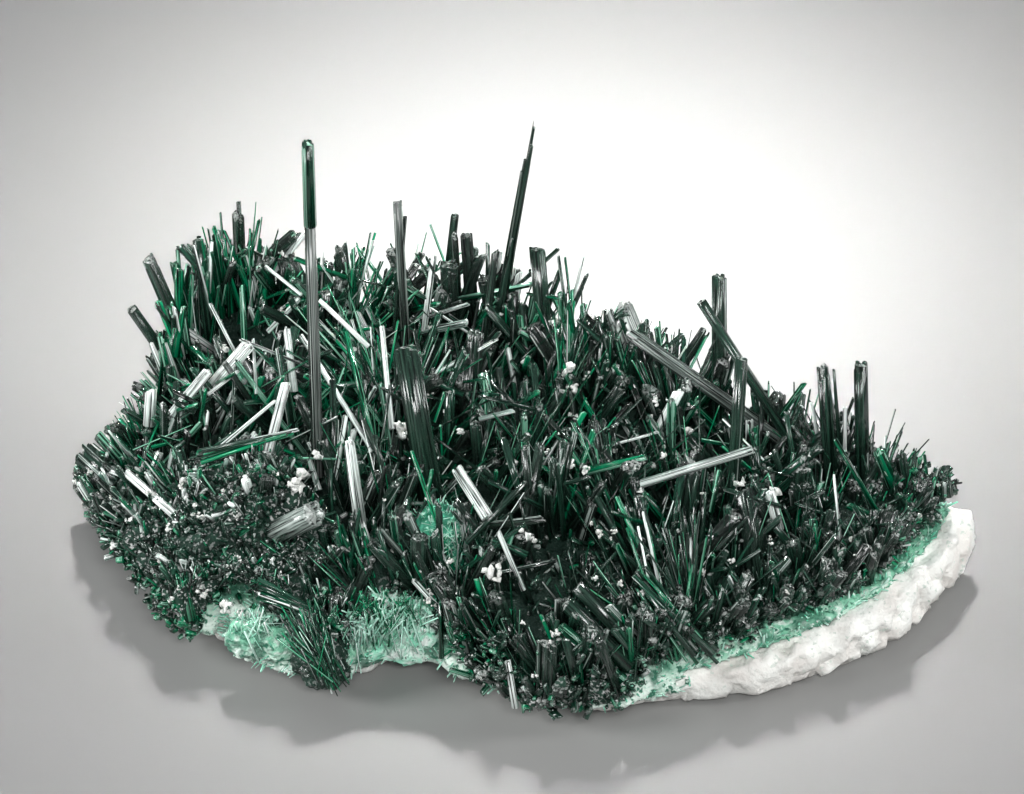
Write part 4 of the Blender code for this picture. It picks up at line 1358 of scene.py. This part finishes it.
def build_fibres(mesh):
    """Short fibres that stand on the crust, in tufts that point the same way."""
    rng = np.random.default_rng(SEED + 5)
    places, normals = places_and_normals(mesh)
    x, y = places[:, :2].T
    uncovered = (at(DRUSE.inside, x, y) < 3.0) | (places[:, 2] < at(DRUSE.under, x, y))
    seen = np.flatnonzero(uncovered & (normals[:, 2] > -0.5))
    grains = rng.choice(seen, CRUST_GRAINS)
    crumb_piece(rng, "crust_grains", places[grains], rng.uniform(0.08, 0.26, len(grains)), "druzy")
    picked = rng.choice(seen, CRUST_FIBRES)
    tufts = np.stack([waves(x[picked], y[picked] + 40 * axis, 1.6) for axis in range(3)], 1)
    direction = unit(normals[picked] + 1.3 * tufts + (0, 0, 0.25))
    foot = places[picked] - normals[picked] * 0.15
    tip = foot + direction * rng.uniform(0.3, 1.2, len(picked))[:, None]
    tip[:, 2] = np.maximum(tip[:, 2], LOWEST)
    fibres = crystals(rng, foot, tip, rng.uniform(0.1, 0.3, len(picked)), narrowing=(0.4, 1.0))
    prism_piece(rng, "crust_fibres", fibres, "fibre", "green_crust", sides=4)


def build_rock():
    """The rock, broken into small flat chips all over."""
    rock = smooth_copy("matrix_rock", "rock")
    rng = np.random.default_rng(SEED + 6)
    low, high = (np.array(corner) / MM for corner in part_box("matrix_rock"))
    chips = KDTree(CHIPS)
    centres = rng.uniform(low, high, (CHIPS, 3))
    slopes = rng.normal(0, 0.3, (CHIPS, 3))
    for index, centre in enumerate(centres):
        chips.insert(centre, index)
    chips.balance()

    def broken(place):
        if place.z < 0.5:
            return 0.0
        centre, index, _ = chips.find(place)
        facet = (place - centre).dot(Vector(slopes[index]))
        return max(-0.4, min(0.3, facet)) + 0.15 * noise.noise(place * 1.1)

    shift_along_normals(rock.data, broken)
    finish_piece(rock, "rock", "matrix_rock")


# Lone crystals


def read_prism(node):
    """A lone crystal's foot, tip, width, thickness and the direction of its width, from its solid."""
    places = np.array([v.co[:] for v in NODES[node].data.vertices]) / MM
    centre = places.mean(0)
    axes = np.linalg.svd(places - centre, full_matrices=False)[2]
    along = axes[0] if axes[0][2] > 0 else -axes[0]
    rise = (places - centre) @ along
    foot = centre + along * rise.min()
    tip = centre + along * rise.max()
    across = (places - centre) @ axes[1]
    through = (places - centre) @ axes[2]
    return foot, tip, np.ptp(across), np.ptp(through), axes[1]


class LoneForm(NamedTuple):
    """How a lone crystal's strands differ from the usual."""

    look: str = "dark"
    narrowing: float = 0.95
    ridge: tuple = (0.2, 0.5)
    uneven: float = 0.08
    slope: float = 0.2
    tone: float = 0.4
    top_look: str = ""  # of its upper part, where that differs
    from_foot: float = 0.0  # the share of its length that other crystals have overgrown


TOP_BEGINS = 0.745  # of the length, and the upper part is a little narrower
TOP_WIDTH = 0.97
TOP_OVERLAP = 0.01  # of the length
LONE_STRANDS = 12
LONE_FULLNESS = 1.12  # makes up for the strands' slimmer sides
LONE_PEAK = 0.2  # in widths
LONE_FORMS = {
    "spire": LoneForm(narrowing=0.06, ridge=(0.3, 0.55), uneven=0.7),
    "wedge_crystal": LoneForm(narrowing=0.35, uneven=0.3),
    "tall_prism": LoneForm(look="grey", narrowing=0.96, uneven=0.3, tone=0.15, top_look="green"),
    # The pale look of pale_slab and slanting_rod is painted reflection
    "pale_slab": LoneForm(look="pale", narrowing=0.85, slope=0.8, tone=0.95),
    "slanting_rod": LoneForm(look="pale", tone=0.5, from_foot=0.5),
    "long_bar": LoneForm(look="grey", narrowing=0.8, slope=0.6),
    "broad_prism": LoneForm(uneven=0.12),
    "twin_prism": LoneForm(look="grey"),
    "upper_horn": LoneForm(narrowing=0.8, uneven=0.2),
    "blocky_crystal": LoneForm(look="grey", slope=0.7, tone=0.85),
}


def build_lone_crystals():
    rng = np.random.default_rng(SEED + 1)
    for name in sorted(set(NODES) - {"matrix_rock", "green_crust", "crystal_druse"}):
        form = LONE_FORMS.get(name, LoneForm())
        foot, tip, width, thick, across = read_prism(name)
        foot = foot + (tip - foot) * form.from_foot
        full = {
            "width": width * LONE_FULLNESS, "thick": thick * LONE_FULLNESS, "roll": 0.0, "peak": LONE_PEAK,
            "narrowing": form.narrowing, "slope": form.slope, "tone": form.tone,
        }
        rows = Crystals(foot=foot[None], tip=tip[None], **{key: np.full(1, full[key]) for key in full})
        first, second = (direction[0] for direction in axes_of(rows)[1:])
        rows.roll[0] = math.atan2(across @ second, across @ first)
        if form.top_look:
            bend = foot + (tip - foot) * TOP_BEGINS
            top = rows._replace(foot=bend[None], width=rows.width * TOP_WIDTH, thick=rows.thick * TOP_WIDTH)
            top = strands(rng, top, LONE_STRANDS)
            prism_piece(rng, name + "_top", top, form.top_look, name)
            rows = rows._replace(tip=bend[None] + (tip - foot)[None] * TOP_OVERLAP)
        many = strands(rng, rows, LONE_STRANDS, form.ridge, form.uneven)
        prism_piece(rng, name + "_strands", many, form.look, name)


# Studio


def add_floor():
    half = 1.5 / MM
    points = np.array([(-half, -half, 0), (half, -half, 0), (half, half, 0), (-half, half, 0)])
    floor = new_mesh("floor", points, np.arange(4), np.array([4]))
    floor.location.z = -0.02 * MM
    wiring = Wiring("floor_look")
    patches = wiring.spread(wiring.noise(wiring.place(), 9.0, 2.0), 0.3, 0.7)
    pale = wiring.mix(patches, colour(0.26, 0.26, 0.255), colour(0.27, 0.27, 0.265))
    floor.data.materials.append(wiring.finish(pale, 0.38))


def aim(obj, place, direction):
    obj.location = place
    obj.rotation_mode = "QUATERNION"
    obj.rotation_quaternion = direction.to_track_quat("-Z", "Y")


def add_area_light(name, place, size, power, target=(0, 0, 0.01)):
    """An area light, with its place and size in metres and its power in watts."""
    light = bpy.data.lights.new(name, "AREA")
    light.shape = "RECTANGLE"
    light.size, light.size_y = size
    light.energy = power
    aim(new_object(name, light), Vector(place), Vector(target) - Vector(place))
    return light


def add_camera():
    camera = bpy.data.cameras.new("camera")
    camera.sensor_width = SENSOR
    camera.lens = SENSOR * VIEW_DISTANCE / VIEW_WIDTH
    camera.clip_end = 10
    obj = new_object("camera", camera)
    back = Vector(TO_VIEWER)
    aim(obj, (VIEW_CENTRE + back * VIEW_DISTANCE) * MM, -back)
    bpy.context.scene.camera = obj


def add_studio():
    add_floor()
    add_area_light("left", place=(-0.50, -0.12, 0.24), size=(0.22, 0.14), power=3.0)
    add_area_light("right", place=(0.46, -0.02, 0.22), size=(0.10, 0.22), power=1.3)
    add_area_light("front", place=(0.05, -0.40, 0.34), size=(0.26, 0.10), power=1.8)
    back = add_area_light(
        "back", place=(0.0, 0.30, 0.40), size=(0.06, 0.06), power=0.068, target=(0.004, 0.045, 0),
    )
    back.spread = math.radians(16)
    world = bpy.data.worlds.new("studio")
    world.use_nodes = True
    background = world.node_tree.nodes["Background"]
    background.inputs["Color"].default_value = colour(0.9, 0.95, 1.0)
    background.inputs["Strength"].default_value = 0.17
    bpy.context.scene.world = world
    bpy.context.scene.view_settings.view_transform = "Standard"


add_camera()
add_studio()
build_rock()
build_crust()
build_fused_body()
build_crumbs(build_druse())
build_set_crystals()
build_grains()
build_fringe()
build_fans()
build_lumps()
build_lone_crystals()
